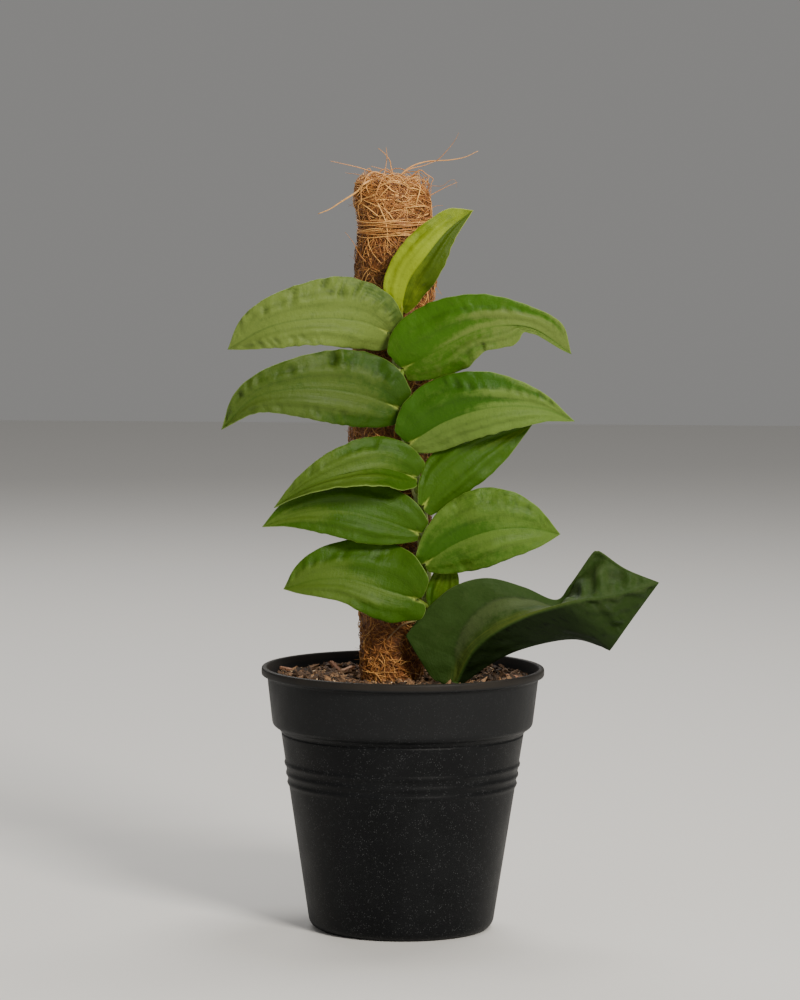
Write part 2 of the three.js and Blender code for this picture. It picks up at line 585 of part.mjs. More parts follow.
// Grid of a plain leaf: its flat outline bent along the midrib and across each half
function leafGrid(leaf) {
  const midrib = curveThrough(leaf.midrib);
  const length = midrib.getLength();
  const first = leaf.midrib[0];
  const last = leaf.midrib[leaf.midrib.length - 1];
  const side = last[0] > first[0] ? -1 : 1;
  const half = (shape, sign) => {
    const { widths, lobe, fold, curl, wave } = shape;
    const base = widths[0];
    const outline = [
      [0, 0, 0],
      [-0.72 * lobe, 0.22 * base, 0],
      [-lobe, 0.5 * base, 0],
      [-0.6 * lobe, 0.82 * base, 0],
      ...STATIONS.map((t, i) => [t * length, widths[i + 1], 0]),
      [length, 0, 0],
    ];
    const margin = curveThrough(outline);
    const widest = Math.max(...widths);
    const bend = THREE.MathUtils.degToRad(curl);
    return Array.from({ length: BLADE.rows + 1 }, (_, i) => {
      const share = i / BLADE.rows;
      const rim = margin.getPointAt(share);
      const foot = length * share ** 1.5;
      return Array.from({ length: BLADE.columns + 1 }, (_unused, j) => {
        const v = j / BLADE.columns;
        const along = foot + (rim.x - foot) * v;
        const out = rim.y * v;
        const t = Math.min(Math.max(along / length, 0), 1);
        const settled = Math.min(t / BLADE.baseShare, 1);
        const roll = leaf.roll + (BLADE.baseRoll - leaf.roll) * (1 - settled) ** 2;
        const open = THREE.MathUtils.degToRad(fold - sign * roll);
        const angle = open - (bend * out) / widest;
        const across = (widest / bend) * (Math.sin(open) - Math.sin(angle));
        const [size, count, phase] = wave;
        const ripple = size * (out / widest) ** 2 * Math.sin(2 * Math.PI * count * t + phase);
        const raised = (widest / bend) * (Math.cos(angle) - Math.cos(open)) + ripple;
        const tangent = midrib.getTangentAt(t);
        const normal = new THREE.Vector3(0, -1, 0).addScaledVector(tangent, tangent.y).normalize();
        const up = tangent.clone().cross(normal).multiplyScalar(side);
        const point = midrib.getPointAt(t).addScaledVector(tangent, Math.min(along, 0));
        return point.addScaledVector(up, sign * across).addScaledVector(normal, raised);
      });
    });
  };
  const upper = half(leaf.upper, 1);
  const lower = half(leaf.lower, -1);
  return upper.map((row, i) => [...row.slice().reverse(), ...lower[i].slice(1)]);
}

// Grid of the twisted leaf, stretched between its midrib and its two margins
function twistedGrid(leaf) {
  const midrib = curveThrough(leaf.midrib);
  const half = (points, sag, sign) => {
    const margin = curveThrough(points);
    return Array.from({ length: leaf.rows + 1 }, (_, i) => {
      const share = i / leaf.rows;
      const foot = midrib.getPointAt(share ** 1.3);
      const tangent = midrib.getTangentAt(share ** 1.3);
      const chord = margin.getPointAt(share).sub(foot);
      const normal = chord.clone().cross(tangent).multiplyScalar(sign).normalize();
      const depth = sag * Math.sin(Math.PI * share) * (chord.length() / 20);
      return Array.from({ length: BLADE.columns + 1 }, (_unused, j) => {
        const v = j / BLADE.columns;
        const point = foot.clone().addScaledVector(chord, v);
        return point.addScaledVector(normal, depth * Math.sin(Math.PI * v));
      });
    });
  };
  const upper = half(leaf.upper, leaf.upperSag, 1);
  const lower = half(leaf.lower, leaf.lowerSag, -1);
  return upper.map((row, i) => [...row.slice().reverse(), ...lower[i].slice(1)]);
}

// The youngest leaf grows from the stem's tip, every other from the stem's front
const youngest = LEAVES.reduce((top, leaf) => (leaf.joins > top.joins ? leaf : top));

// Stalk from the blade's base down to the stem
function petiolePath(leaf) {
  const [x, y, z] = leaf.midrib[0];
  const [x1, y1, z1] = leaf.midrib[1];
  const join = stemAt(leaf.joins);
  const inBlade = [x + (x1 - x) * 0.12, y + (y1 - y) * 0.12 + 0.3, z + (z1 - z) * 0.12];
  if (leaf === youngest) {
    const above = join.z + CLEAR + 0.15;
    return [inBlade, [x, y + 0.3, z - 1], [join.x, join.y - 0.4, above + 2], [join.x, join.y, above]];
  }
  const reach = STEM.radius + CLEAR + 0.25;
  const end = [join.x, join.y - reach, join.z];
  const near = [join.x, join.y - reach - 2.2, join.z + 0.5];
  return [inBlade, [x, y + 0.4, z - 0.5], near, end];
}

const TOWARDS_VIEWER = new THREE.Vector3(0, -1, 0);

function plainLeaf(leaf) {
  const blade = toSolid(bladeSolid(leafGrid(leaf), TOWARDS_VIEWER));
  const stalk = rod(petiolePath(leaf), () => BLADE.petioleRadius, 5, 5);
  return fromSolid(blade.add(toSolid(stalk)));
}

function bigLeaf() {
  const blade = toSolid(bladeSolid(twistedGrid(BIG_LEAF), TOWARDS_VIEWER));
  const stalk = rod(BIG_LEAF.petiole, () => BIG_LEAF.petioleRadius, 5, 6);
  return fromSolid(blade.add(toSolid(stalk)));
}

const group = new THREE.Group();

function addPiece(name, geometry, colour, roughness) {
  geometry.computeVertexNormals();
  const material = new THREE.MeshStandardMaterial({ color: colour, roughness, metalness: 0 });
  const mesh = new THREE.Mesh(geometry, material);
  mesh.name = name;
  group.add(mesh);
}

addPiece('pot', pot(), 0x1d2022, 0.6);
addPiece('soil', soil(), 0x4a3424, 0.95);
addPiece('pole_core', poleCore(), 0xa8835a, 0.8);
addPiece('coir_sleeve', coirSleeve(), 0x8a5a35, 0.95);
addPiece('binding', binding(), 0x9a6b3f, 0.9);
addPiece('stem', stem(), 0xa3a860, 0.6);
for (const leaf of LEAVES) addPiece(leaf.name, plainLeaf(leaf), leaf.colour, 0.45);
addPiece(BIG_LEAF.name, bigLeaf(), BIG_LEAF.colour, 0.45);

export default group;
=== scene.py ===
import logging
import math
from dataclasses import dataclass, field
from enum import Enum

import bpy
import numpy as np
from mathutils import Matrix, Vector


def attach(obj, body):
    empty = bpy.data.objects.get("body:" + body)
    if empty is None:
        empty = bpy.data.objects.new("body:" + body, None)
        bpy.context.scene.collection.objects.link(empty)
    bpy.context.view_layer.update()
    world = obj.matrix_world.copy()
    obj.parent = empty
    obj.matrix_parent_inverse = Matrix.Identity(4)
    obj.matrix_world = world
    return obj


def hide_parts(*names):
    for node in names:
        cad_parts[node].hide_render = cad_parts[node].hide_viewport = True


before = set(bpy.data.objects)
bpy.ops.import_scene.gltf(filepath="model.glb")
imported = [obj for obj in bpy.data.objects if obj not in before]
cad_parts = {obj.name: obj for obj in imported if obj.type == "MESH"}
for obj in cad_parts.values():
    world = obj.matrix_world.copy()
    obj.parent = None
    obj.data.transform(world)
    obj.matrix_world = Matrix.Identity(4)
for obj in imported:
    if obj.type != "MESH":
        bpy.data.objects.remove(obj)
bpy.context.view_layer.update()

LOG = logging.getLogger("potted_plant")
MM = 0.001
BODY = "root"
FULL_TURN = 2 * math.pi
Array = np.ndarray
Colour = tuple[float, float, float]
Point = tuple[float, float, float]
Pair = tuple[float, float]
Socket = bpy.types.NodeSocket
Value = Socket | float | tuple


class Slot(Enum):
    """Material slots of the record."""

    POT = "pot_plastic"
    SOIL = "potting_mix"
    COIR = "coir"
    BINDING = "binding_fibre"
    STEM = "stem_green"
    LEAF = "leaf_green"
    YOUNG = "leaf_young"
    DARK = "leaf_dark"


class Side(Enum):
    """Half of a blade: the upper or the lower one."""

    UPPER = 1
    LOWER = -1


def unit(vectors: Array) -> Array:
    """Each row divided by its length."""
    return vectors / np.maximum(np.linalg.norm(vectors, axis=-1, keepdims=True), 1e-12)


def between(pair: Pair, share: Array) -> Array:
    """A share of the way from the first number to the second: first + (second - first) share."""
    return pair[0] + (pair[1] - pair[0]) * share


def smoothstep(value: Array, low: float, high: float) -> Array:
    """Rises from 0 at low to 1 at high as 3x^2 - 2x^3."""
    x = np.clip((value - low) / (high - low), 0.0, 1.0)
    return x * x * (3.0 - 2.0 * x)


def dip(value: Array, width: float) -> Array:
    """Bell exp(-(value / width)^2)."""
    return np.exp(-((value / width) ** 2))


class Curve:
    """Smooth curve through points, read by the share of its length.

    Each stretch is a uniform Catmull-Rom cubic: its slope at a point is half of the step between
    the two neighbours, and the ends are reflected.
    """

    def __init__(self, points: list | Array, samples: int = 500) -> None:
        """Sets up the cubics and a table of length along them.

        Args:
            points: Points that the curve passes through, one per row.
            samples: How many places the length is summed over.
        """
        rows = np.asarray(points, float)
        self.rows = np.vstack([2 * rows[0] - rows[1], rows, 2 * rows[-1] - rows[-2]])
        self.stretches = len(rows) - 1
        self.places = np.linspace(0.0, 1.0, samples)
        steps = np.linalg.norm(np.diff(self.by_index(self.places), axis=0), axis=1)
        self.run = np.concatenate([[0.0], np.cumsum(steps)])
        self.length = float(self.run[-1])

    def by_index(self, place: Array) -> Array:
        """Point counted by stretches: the cubic of the stretch that the place falls in.

        Args:
            place: Places from 0 to 1, each stretch as long as the next.

        Returns:
            Points, one per place.
        """
        x = np.clip(place, 0.0, 1.0) * self.stretches
        i = np.minimum(x.astype(int), self.stretches - 1)
        f = (x - i)[..., None]
        a, b, c, d = (self.rows[i + k] for k in range(4))
        start, end = (c - a) / 2, (d - b) / 2
        return (2 * b - 2 * c + start + end) * f**3 + (3 * c - 3 * b - 2 * start - end) * f**2 + start * f + b

    def at(self, share: Array) -> Array:
        """Point at a share of the length."""
        return self.by_index(np.interp(np.asarray(share) * self.length, self.run, self.places))

    def tangent(self, share: Array) -> Array:
        """Unit direction at a share of the length, from two points either side of it."""
        step = 1e-3
        return unit(self.at(np.clip(share + step, 0, 1)) - self.at(np.clip(share - step, 0, 1)))


class Ripple:
    """Smooth random field: sine waves in seeded directions, their sum over the root of half their number."""

    def __init__(self, seed: int, size: float, dims: int = 3, waves: int = 14) -> None:
        """Draws the waves.

        Args:
            seed: Seed of the draw.
            size: Typical distance between crests.
            dims: How many coordinates a point has.
            waves: How many waves are summed.
        """
        random = np.random.default_rng(seed)
        heading = unit(random.normal(size=(waves, dims)))
        self.numbers = heading * (FULL_TURN / size) * random.uniform(0.6, 1.5, (waves, 1))
        self.phase = random.uniform(0, FULL_TURN, waves)

    def at(self, *coordinates: Array) -> Array:
        """Value at points given coordinate by coordinate."""
        points = np.stack(np.broadcast_arrays(*coordinates), axis=-1)
        return np.sin(points @ self.numbers.T + self.phase).sum(-1) / math.sqrt(len(self.phase) / 2)


class Draw:
    """Seeded stream of random columns, with one number for each of a count of fibres."""

    def __init__(self, seed: int, count: int) -> None:
        """Starts the stream for this many fibres."""
        self.random = np.random.default_rng(seed)
        self.shape = (count, 1)

    def even(self, low: float, high: float) -> Array:
        """Even draw between two values."""
        return self.random.uniform(low, high, self.shape)

    def bell(self, spread: float) -> Array:
        """Normal draw about zero."""
        return self.random.normal(0, spread, self.shape)

    def sign(self) -> Array:
        """Minus one or plus one."""
        return self.random.choice([-1.0, 1.0], self.shape)


def ring_faces(rings: int, sides: int, closed: bool = False) -> Array:
    """Quads between neighbouring rings of points.

    Args:
        rings: How many rings there are.
        sides: Points in each ring, which closes on itself.
        closed: Whether the last ring joins the first.

    Returns:
        Point numbers, four to a row.
    """
    i = np.arange(rings if closed else rings - 1)[:, None]
    j = np.arange(sides)[None, :]
    after, right = (i + 1) % rings, (j + 1) % sides
    corners = [i * sides + j, i * sides + right, after * sides + right, after * sides + j]
    return np.stack(np.broadcast_arrays(*corners), axis=-1).reshape(-1, 4)


def signed_volume(points: Array, faces: Array) -> float:
    """Volume inside closed faces: the sum of a.(b x c) / 6.

    Args:
        points: Points, one per row.
        faces: Point numbers, three or four to a row.

    Returns:
        The volume, negative where the faces point inwards.
    """
    a, b, c = points[faces[:, 0]], points[faces[:, 1]], points[faces[:, 2]]
    total = np.einsum("ij,ij->", a, np.cross(b, c))
    if faces.shape[1] == 4:
        total += np.einsum("ij,ij->", a, np.cross(c, points[faces[:, 3]]))
    return float(total) / 6


class Shell:
    """Gathers closed bodies of one piece, with a value per point for each pattern, into one mesh."""

    def __init__(self) -> None:
        """Starts empty."""
        self.points: list[Array] = []
        self.faces: list[Array] = []
        self.values: list[dict[str, Array]] = []
        self.count = 0

    def add(self, points: Array, faces: list[Array], **values: Array | float) -> None:
        """Adds bodies whose faces already point outwards.

        Args:
            points: Points, one per row.
            faces: Arrays of point numbers, three or four to a row.
            values: One number per point, or one for all of them, for each pattern.
        """
        rows = points.reshape(-1, 3)
        self.points.append(rows)
        self.faces.extend(part + self.count for part in faces if len(part))
        self.values.append({k: np.broadcast_to(v, len(rows)).astype(np.float32) for k, v in values.items()})
        self.count += len(rows)

    def add_closed(self, points: Array, faces: list[Array], **values: Array | float) -> None:
        """Adds one closed body, turned right side out if its signed volume is negative.

        Args:
            points: Points, one per row.
            faces: Arrays of point numbers, three or four to a row.
            values: One number per point, or one for all of them, for each pattern.
        """
        rows = points.reshape(-1, 3)
        volume = sum(signed_volume(rows, part) for part in faces if len(part))
        self.add(rows, [part[:, ::-1] for part in faces] if volume < 0 else faces, **values)

    def add_loft(self, rings: Array, start: Array, end: Array, **values: Array | float) -> None:
        """Adds a closed body through rings of points, closed by one point before and one after them.

        Args:
            rings: Points as rings by sides by 3.
            start: Point that closes the first ring.
            end: Point that closes the last ring.
            values: Arrays of rings by sides, or one number for all, for each pattern.
        """
        count, sides = rings.shape[:2]
        points = np.concatenate([rings.reshape(-1, 3), [start], [end]])
        j = np.arange(sides)
        right = (j + 1) % sides
        first, last = count * sides, count * sides + 1
        foot = np.stack([np.full(sides, first), right, j], axis=-1)
        head = np.stack([np.full(sides, last), (count - 1) * sides + j, (count - 1) * sides + right], axis=-1)
        spread = {}
        for name, value in values.items():
            grid = np.broadcast_to(value, (count, sides))
            spread[name] = np.concatenate([grid.ravel(), [grid[0].mean(), grid[-1].mean()]])
        self.add_closed(points, [ring_faces(count, sides), np.concatenate([foot, head])], **spread)

    def add_tubes(self, paths: Array, radii: Array, sides: int, **values: Array | float) -> None:
        """Adds round tubes along many paths at once.

        The first normal is square to the path, and each next one is the last with its part along
        the path taken off. A ring point is centre + radius (cos a normal + sin a binormal).

        Args:
            paths: Points as paths by places by 3.
            radii: Radius as paths by places.
            sides: Sides of each tube.
            values: Arrays of paths by places, or one number for all, for each pattern.
        """
        count, places = paths.shape[:2]
        tangents = unit(np.gradient(paths, axis=1))
        guide = np.where(np.abs(tangents[:, 0, 2:3]) > 0.8, [1.0, 0, 0], [0, 0, 1.0])
        normals = np.empty_like(paths)
        normals[:, 0] = unit(np.cross(tangents[:, 0], guide))
        for k in range(1, places):
            before, along = normals[:, k - 1], tangents[:, k]
            normals[:, k] = unit(before - along * np.sum(before * along, axis=-1, keepdims=True))
        binormals = np.cross(tangents, normals)
        angle = np.linspace(0, FULL_TURN, sides, endpoint=False)
        spokes = normals[:, :, None] * np.cos(angle)[:, None] + binormals[:, :, None] * np.sin(angle)[:, None]
        points = paths[:, :, None] + spokes * radii[:, :, None, None]
        offset = np.arange(count)[:, None, None] * (places * sides)
        walls = (ring_faces(places, sides)[None] + offset).reshape(-1, 4)
        fan = np.arange(1, sides - 1)
        foot = np.stack([np.zeros(sides - 2, int), fan + 1, fan], axis=-1)
        head = (places - 1) * sides + foot[:, ::-1]
        ends = (np.concatenate([foot, head])[None] + offset).reshape(-1, 3)
        spread = {}
        for name, value in values.items():
            grid = np.broadcast_to(value, (count, places))
            spread[name] = np.repeat(grid.ravel(), sides)
        self.add(points, [walls, ends], **spread)

    def build(self, name: str, material: bpy.types.Material, slot: Slot, *nodes: str,
              flat: bool = False) -> None:
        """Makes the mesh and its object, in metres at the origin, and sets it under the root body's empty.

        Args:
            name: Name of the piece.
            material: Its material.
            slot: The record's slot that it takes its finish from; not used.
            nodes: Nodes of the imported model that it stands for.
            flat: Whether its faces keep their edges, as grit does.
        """
        points = np.concatenate(self.points) * MM
        corners = np.concatenate([part.ravel() for part in self.faces])
        sizes = np.concatenate([np.full(len(part), part.shape[1]) for part in self.faces])
        mesh = bpy.data.meshes.new(name)
        mesh.vertices.add(len(points))
        mesh.vertices.foreach_set("co", points.astype(np.float32).ravel())
        mesh.loops.add(len(corners))
        mesh.loops.foreach_set("vertex_index", corners.astype(np.int32))
        mesh.polygons.add(len(sizes))
        mesh.polygons.foreach_set("loop_start", np.concatenate([[0], np.cumsum(sizes)[:-1]]).astype(np.int32))
        mesh.update(calc_edges=True)
        mesh.polygons.foreach_set("use_smooth", np.full(len(sizes), not flat))
        names = sorted(set().union(*(part.keys() for part in self.values)))
        for pattern in names:
            parts = zip(self.points, self.values)
            column = [part.get(pattern, np.zeros(len(rows), np.float32)) for rows, part in parts]
            layer = mesh.attributes.new(pattern, "FLOAT", "POINT")
            layer.data.foreach_set("value", np.concatenate(column))
        mesh.materials.append(material)
        mesh.validate()
        piece = bpy.data.objects.new(name, mesh)
        bpy.context.scene.collection.objects.link(piece)
        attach(piece, BODY)
        if nodes:
            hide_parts(*nodes)
        triangles = int((sizes - 2).sum())
        LOG.info("%s: %d points, %d triangles", name, len(points), triangles)


class Shader:
    """Short words for the nodes of one material."""

    def __init__(self, name: str, **settings: float) -> None:
        """Makes the material and sets constant values on its surface shader.

        Args:
            name: Name of the material.
            settings: Socket names with spaces as underscores, and their values.
        """
        self.material = bpy.data.materials.new(name)
        self.material.use_nodes = True
        self.tree = self.material.node_tree
        self.surface = self.tree.nodes["Principled BSDF"]
        for socket, value in settings.items():
            self.output(socket.replace("_", " "), value)

    def feed(self, socket: Socket, value: Value) -> None:
        """Links an output to the socket, or sets the socket to a plain value.

        Args:
            socket: Input that is fed.
            value: Output of a node, number, vector, or colour of three parts.
        """
        if isinstance(value, Socket):
            self.tree.links.new(value, socket)
        else:
            socket.default_value = (*value, 1.0) if socket.type == "RGBA" else value

    def output(self, socket: str, value: Value) -> None:
        """Feeds a socket of the surface shader."""
        self.feed(self.surface.inputs[socket], value)

    def node(self, kind: str, inputs: dict[str | int, Value], output: str | int = 0,
             **settings: str) -> Socket:
        """Adds a node.

        Args:
            kind: Name of the node's type, without the words that all shader nodes begin with.
            inputs: What feeds each input, by the input's name or number.
            output: Name or number of the output that is wanted.
            settings: Properties of the node.

        Returns:
            That output.
        """
        made = self.tree.nodes.new("ShaderNode" + kind)
        for key, value in settings.items():
            setattr(made, key, value)
        for socket, value in inputs.items():
            self.feed(made.inputs[socket], value)
        return made.outputs[output]

    def value(self, name: str) -> Socket:
        """A pattern's value, kept on the points of the mesh."""
        return self.node("Attribute", {}, "Fac", attribute_name=name)

    def place(self) -> Socket:
        """Place in the object, in metres."""
        return self.node("TexCoord", {}, "Object")

    def height(self) -> Socket:
        """Height in the object, in metres."""
        return self.node("SeparateXYZ", {0: self.place()}, "Z")

    def add(self, a: Value, b: Value) -> Socket:
        """Sum of two numbers."""
        return self.node("Math", {0: a, 1: b}, operation="ADD")

    def times(self, a: Value, b: Value) -> Socket:
        """Product of two numbers."""
        return self.node("Math", {0: a, 1: b}, operation="MULTIPLY")

    def larger(self, a: Value, b: Value) -> Socket:
        """Larger one of two numbers."""
        return self.node("Math", {0: a, 1: b}, operation="MAXIMUM")

    def join(self, *numbers: Value) -> Socket:
        """Vector from three numbers."""
        return self.node("CombineXYZ", dict(enumerate(numbers)))

    def stretch(self, vector: Value, scale: Point) -> Socket:
        """Vector times a scale for each axis."""
        return self.node("Mapping", {"Vector": vector, "Scale": scale})

    def noise(self, vector: Value, scale: float, detail: float = 2.0, rough: float = 0.5) -> Socket:
        """Cloudy noise from 0 to 1."""
        inputs = {"Vector": vector, "Scale": scale, "Detail": detail, "Roughness": rough}
        return self.node("TexNoise", inputs, "Fac")

    def cells(self, vector: Value, scale: float) -> Socket:
        """Distance to the nearest of scattered cell centres."""
        return self.node("TexVoronoi", {"Vector": vector, "Scale": scale}, "Distance")

    def step(self, value: Value, low: float, high: float, to: Pair = (0.0, 1.0)) -> Socket:
        """Smooth change between two values."""
        inputs = {"Value": value, "From Min": low, "From Max": high, "To Min": to[0], "To Max": to[1]}
        return self.node("MapRange", inputs, "Result", interpolation_type="SMOOTHSTEP")

    def fade(self, value: Value, low: float, high: float, most: float = 1.0) -> Socket:
        """Smooth fall from most to nothing between two values."""
        return self.step(value, low, high, (most, 0.0))

    def ramp(self, value: Value, stops: tuple[tuple[float, Colour], ...]) -> Socket:
        """Colour along a row of stops.

        Args:
            value: Place along the row.
            stops: Places from 0 to 1, and the colour at each.

        Returns:
            The colour.
        """
        colour = self.node("ValToRGB", {"Fac": value}, "Color")
        elements = colour.node.color_ramp.elements
        while len(elements) < len(stops):
            elements.new(0.5)
        for element, (place, paint) in zip(elements, stops):
            element.position = place
            element.color = (*paint, 1.0)
        return colour

    def mix(self, share: Value, a: Value, b: Value) -> Socket:
        """Colour a turned to colour b by a share."""
        return self.node("Mix", {0: share, 6: a, 7: b}, 2, data_type="RGBA")

    def bump(self, height: Value, depth: float, strength: float, onto: Socket | None = None) -> Socket:
        """Surface direction tilted by a height, depth in metres."""
        inputs = {"Strength": strength, "Distance": depth, "Height": height}
        return self.node("Bump", inputs if onto is None else {**inputs, "Normal": onto})


@dataclass(frozen=True)
class LeafFinish:
    """Satin leaf: deep green with a painted sheen and painted shade, a pale base and a painted highlight on
    the rim.

    sheen is the colour of the painted sheen, a painted highlight; dark that of the painted shade in wrinkles,
    creases and fine cross crinkles; rim that of a painted highlight along the margin. streak, blotch and
    mottle are how far the fine streaks, the clouds and the fine mottle shift the painted sheen, dent is how
    strong the painted shade in wrinkles and creases is, bars how strong it is in the fine cross crinkles,
    and relief and grain the depth of the coarse and the fine bumps.
    """

    name: str
    deep: Colour
    sheen: Colour
    base: Colour = (0.36, 0.44, 0.08)
    rim: Colour = (0.20, 0.29, 0.06)
    back: Colour = (0.12, 0.20, 0.05)
    fibre: Colour = (0.42, 0.48, 0.10)
    dark: Colour = (0.012, 0.03, 0.003)
    streak: float = 0.07
    blotch: float = 0.14
    mottle: float = 0.18
    painted_shade: float = 0.5
    bars: float = 0.22
    roughness: float = 0.5
    specular: float = 0.2
    relief: float = 0.0004
    grain: float = 0.00011
    seed: float = 0.0

    def material(self) -> bpy.types.Material:
        """Builds the material from the blade's patterns.

        They are along and across, shares of the blade; rib and edge, millimetres from the midrib and
        the margin; pale, where the painted sheen is; dent, how much painted shade falls in wrinkles and
        creases, and over the old leaf's lower half; ridge, where fibres show; and face, 1 in front and 0
        behind.

        Returns:
            The material.
        """
        s = Shader(self.name, Roughness=self.roughness, IOR=1.45, Specular_IOR_Level=self.specular)
        along, across, rib, edge = (s.value(name) for name in ("along", "across", "rib", "edge"))
        streaks = s.noise(s.join(s.times(along, 5.0), s.times(across, 26.0), self.seed), 1.0, 3.0, 0.6)
        crosses = s.noise(s.join(s.times(along, 70.0), s.times(across, 5.0), self.seed + 3.0), 1.0, 3.0, 0.6)
        clouds = s.noise(s.place(), 85.0 + self.seed, 3.0, 0.6)
        mottle = s.noise(s.place(), 420.0, 3.0, 0.65)
        # Painted sheen: the deep green turns to the sheen colour where the pale pattern is high
        pale = s.value("pale")
        for pattern, most in ((streaks, self.streak), (clouds, self.blotch), (mottle, self.mottle)):
            pale = s.add(pale, s.step(pattern, 0.3, 0.7, (-most, most)))
        body = s.mix(s.step(pale, 0.0, 1.0), self.deep, self.sheen)
        # Painted shade: towards the dark colour in the wrinkles, creases and fine cross crinkles
        dark = s.add(s.times(s.value("painted_shade"), self.painted_shade), s.step(crosses, 0.5, 0.8, (0.0, self.bars)))
        body = s.mix(dark, body, self.dark)
        # Painted shade along the midrib's groove: the painted sheen gives way to the deep green there
        crease = s.times(s.fade(rib, 0.1, 0.75), s.step(along, 0.1, 0.3, (0.0, 0.35)))
        body = s.mix(crease, body, self.deep)
        line = s.times(s.fade(rib, 0.2, 0.6), s.fade(along, 0.015, 0.08, 0.6))
        knot = s.times(s.fade(rib, 0.3, 1.5, 0.55), s.fade(along, 0.0, 0.035))
        body = s.mix(s.larger(line, knot), body, self.base)
        fibres = s.times(s.value("ridge"), s.step(streaks, 0.35, 0.6, (0.25, 1.0)))
        body = s.mix(fibres, body, self.fibre)
        # Painted highlight: a thin pale line along the margin
        body = s.mix(s.fade(edge, 0.08, 0.4, 0.65), body, self.rim)
        s.output("Base Color", s.mix(s.value("face"), self.back, body))
        relief = s.add(s.add(s.times(streaks, 0.5), s.times(crosses, 0.5)), mottle)
        fine = s.noise(s.place(), 1700.0, 2.0, 0.6)
        s.output("Normal", s.bump(fine, self.grain, 0.5, s.bump(relief, self.relief, 0.7)))
        s.output("Roughness", s.step(clouds, 0.2, 0.8, (self.roughness - 0.06, self.roughness + 0.06)))
        return s.material


@dataclass(frozen=True)
class StemFinish:
    """Living green stem, paler at its joints and brown where it is old."""

    green: Colour = (0.22, 0.30, 0.06)
    joint: Colour = (0.45, 0.48, 0.16)
    root: Colour = (0.26, 0.16, 0.07)

    def material(self) -> bpy.types.Material:
        """Builds the material: joint pales the green, woody turns it to root brown.

        Returns:
            The material.
        """
        s = Shader("stem skin", Roughness=0.45)
        streaks = s.noise(s.stretch(s.place(), (1.0, 1.0, 0.12)), 1500.0)
        streaked = s.mix(s.step(streaks, 0.35, 0.7, (0.0, 0.5)), self.green, self.joint)
        skin = s.mix(s.value("joint"), streaked, self.joint)
        s.output("Base Color", s.mix(s.value("woody"), skin, self.root))
        s.output("Normal", s.bump(streaks, 0.0002, 0.5))
        return s.material


@dataclass(frozen=True)
class CoirFinish:
    """Coconut fibre: each fibre has its own tone from dark brown over red brown to straw."""

    name: str
    stops: tuple[tuple[float, Colour], ...] = (
        (0.0, (0.05, 0.016, 0.004)), (0.35, (0.24, 0.085, 0.020)), (0.65, (0.48, 0.20, 0.046)),
        (1.0, (0.84, 0.46, 0.135)),
    )

    def material(self) -> bpy.types.Material:
        """Builds the material from the pattern tone, 0 to 1, with a little fine noise.

        Returns:
            The material.
        """
        s = Shader(self.name, Roughness=0.5)
        tone = s.add(s.value("tone"), s.step(s.noise(s.place(), 900.0, 3.0), 0.2, 0.8, (-0.1, 0.1)))
        s.output("Base Color", s.ramp(tone, self.stops))
        s.output("Normal", s.bump(s.noise(s.place(), 3000.0), 0.00005, 0.2))
        return s.material


@dataclass(frozen=True)
class PotFinish:
    """Matt charcoal plastic with a fine grain and pale specks, a lighter band that is a painted highlight,
    dusty on its lip.
    """

    black: Colour = (0.0030, 0.0034, 0.0040)
    grey: Colour = (0.0060, 0.0066, 0.0074)
    speck: Colour = (0.046, 0.048, 0.050)
    dust: Colour = (0.022, 0.019, 0.016)
    band: Colour = (0.0150, 0.0158, 0.0168)
    band_foot: Pair = (0.086, 0.0895)
    lip_foot: Pair = (0.1082, 0.1095)

    def material(self) -> bpy.types.Material:
        """Builds the material: specks where cells are small, and a grain in the surface.

        Returns:
            The material.
        """
        s = Shader("pot plastic", Roughness=0.5, IOR=1.45, Specular_IOR_Level=0.13)
        place, height = s.place(), s.height()
        cloud = s.noise(place, 60.0, 4.0, 0.6)
        body = s.mix(s.step(cloud, 0.3, 0.8), self.black, self.grey)
        chance = s.step(s.noise(place, 420.0), 0.42, 0.6)
        body = s.mix(s.times(s.fade(s.cells(place, 1300.0), 0.1, 0.34), chance), body, self.speck)
        # Painted highlight: the band is turned lighter than the body
        body = s.mix(s.step(height, *self.band_foot, (0.0, 0.55)), body, self.band)
        dust = s.times(s.step(height, *self.lip_foot), s.step(cloud, 0.3, 0.7, (0.5, 1.0)))
        s.output("Base Color", s.mix(dust, body, self.dust))
        s.output("Normal", s.bump(s.noise(place, 2400.0, 2.0, 0.6), 0.00012, 0.45))
        s.output("Roughness", s.step(cloud, 0.2, 0.8, (0.42, 0.54)))
        return s.material


@dataclass(frozen=True)
class CrumbFinish:
    """Loose bits that each have their own tone along a row of colours."""

    name: str
    stops: tuple[tuple[float, Colour], ...]

    def material(self) -> bpy.types.Material:
        """Builds the material from the pattern tone, 0 to 1, with fine dirt over it.

        Returns:
            The material.
        """
        s = Shader(self.name, Roughness=0.85)
        dirt = s.noise(s.place(), 1400.0, 4.0, 0.7)
        tone = s.add(s.value("tone"), s.step(dirt, 0.2, 0.8, (-0.14, 0.14)))
        s.output("Base Color", s.ramp(tone, self.stops))
        s.output("Normal", s.bump(dirt, 0.0005, 0.7))
        return s.material


@dataclass(frozen=True)
class WoodFinish:
    """Planed stake wood with long grain."""

    light: Colour = (0.42, 0.27, 0.14)
    dark: Colour = (0.22, 0.12, 0.055)

    def material(self) -> bpy.types.Material:
        """Builds the material: grain is noise drawn out along the stake.

        Returns:
            The material.
        """
        s = Shader("stake wood", Roughness=0.7)
        grain = s.noise(s.stretch(s.place(), (1.0, 1.0, 0.06)), 700.0, 4.0, 0.65)
        s.output("Base Color", s.mix(s.step(grain, 0.3, 0.7), self.dark, self.light))
        s.output("Normal", s.bump(grain, 0.0003, 0.6))
        return s.material


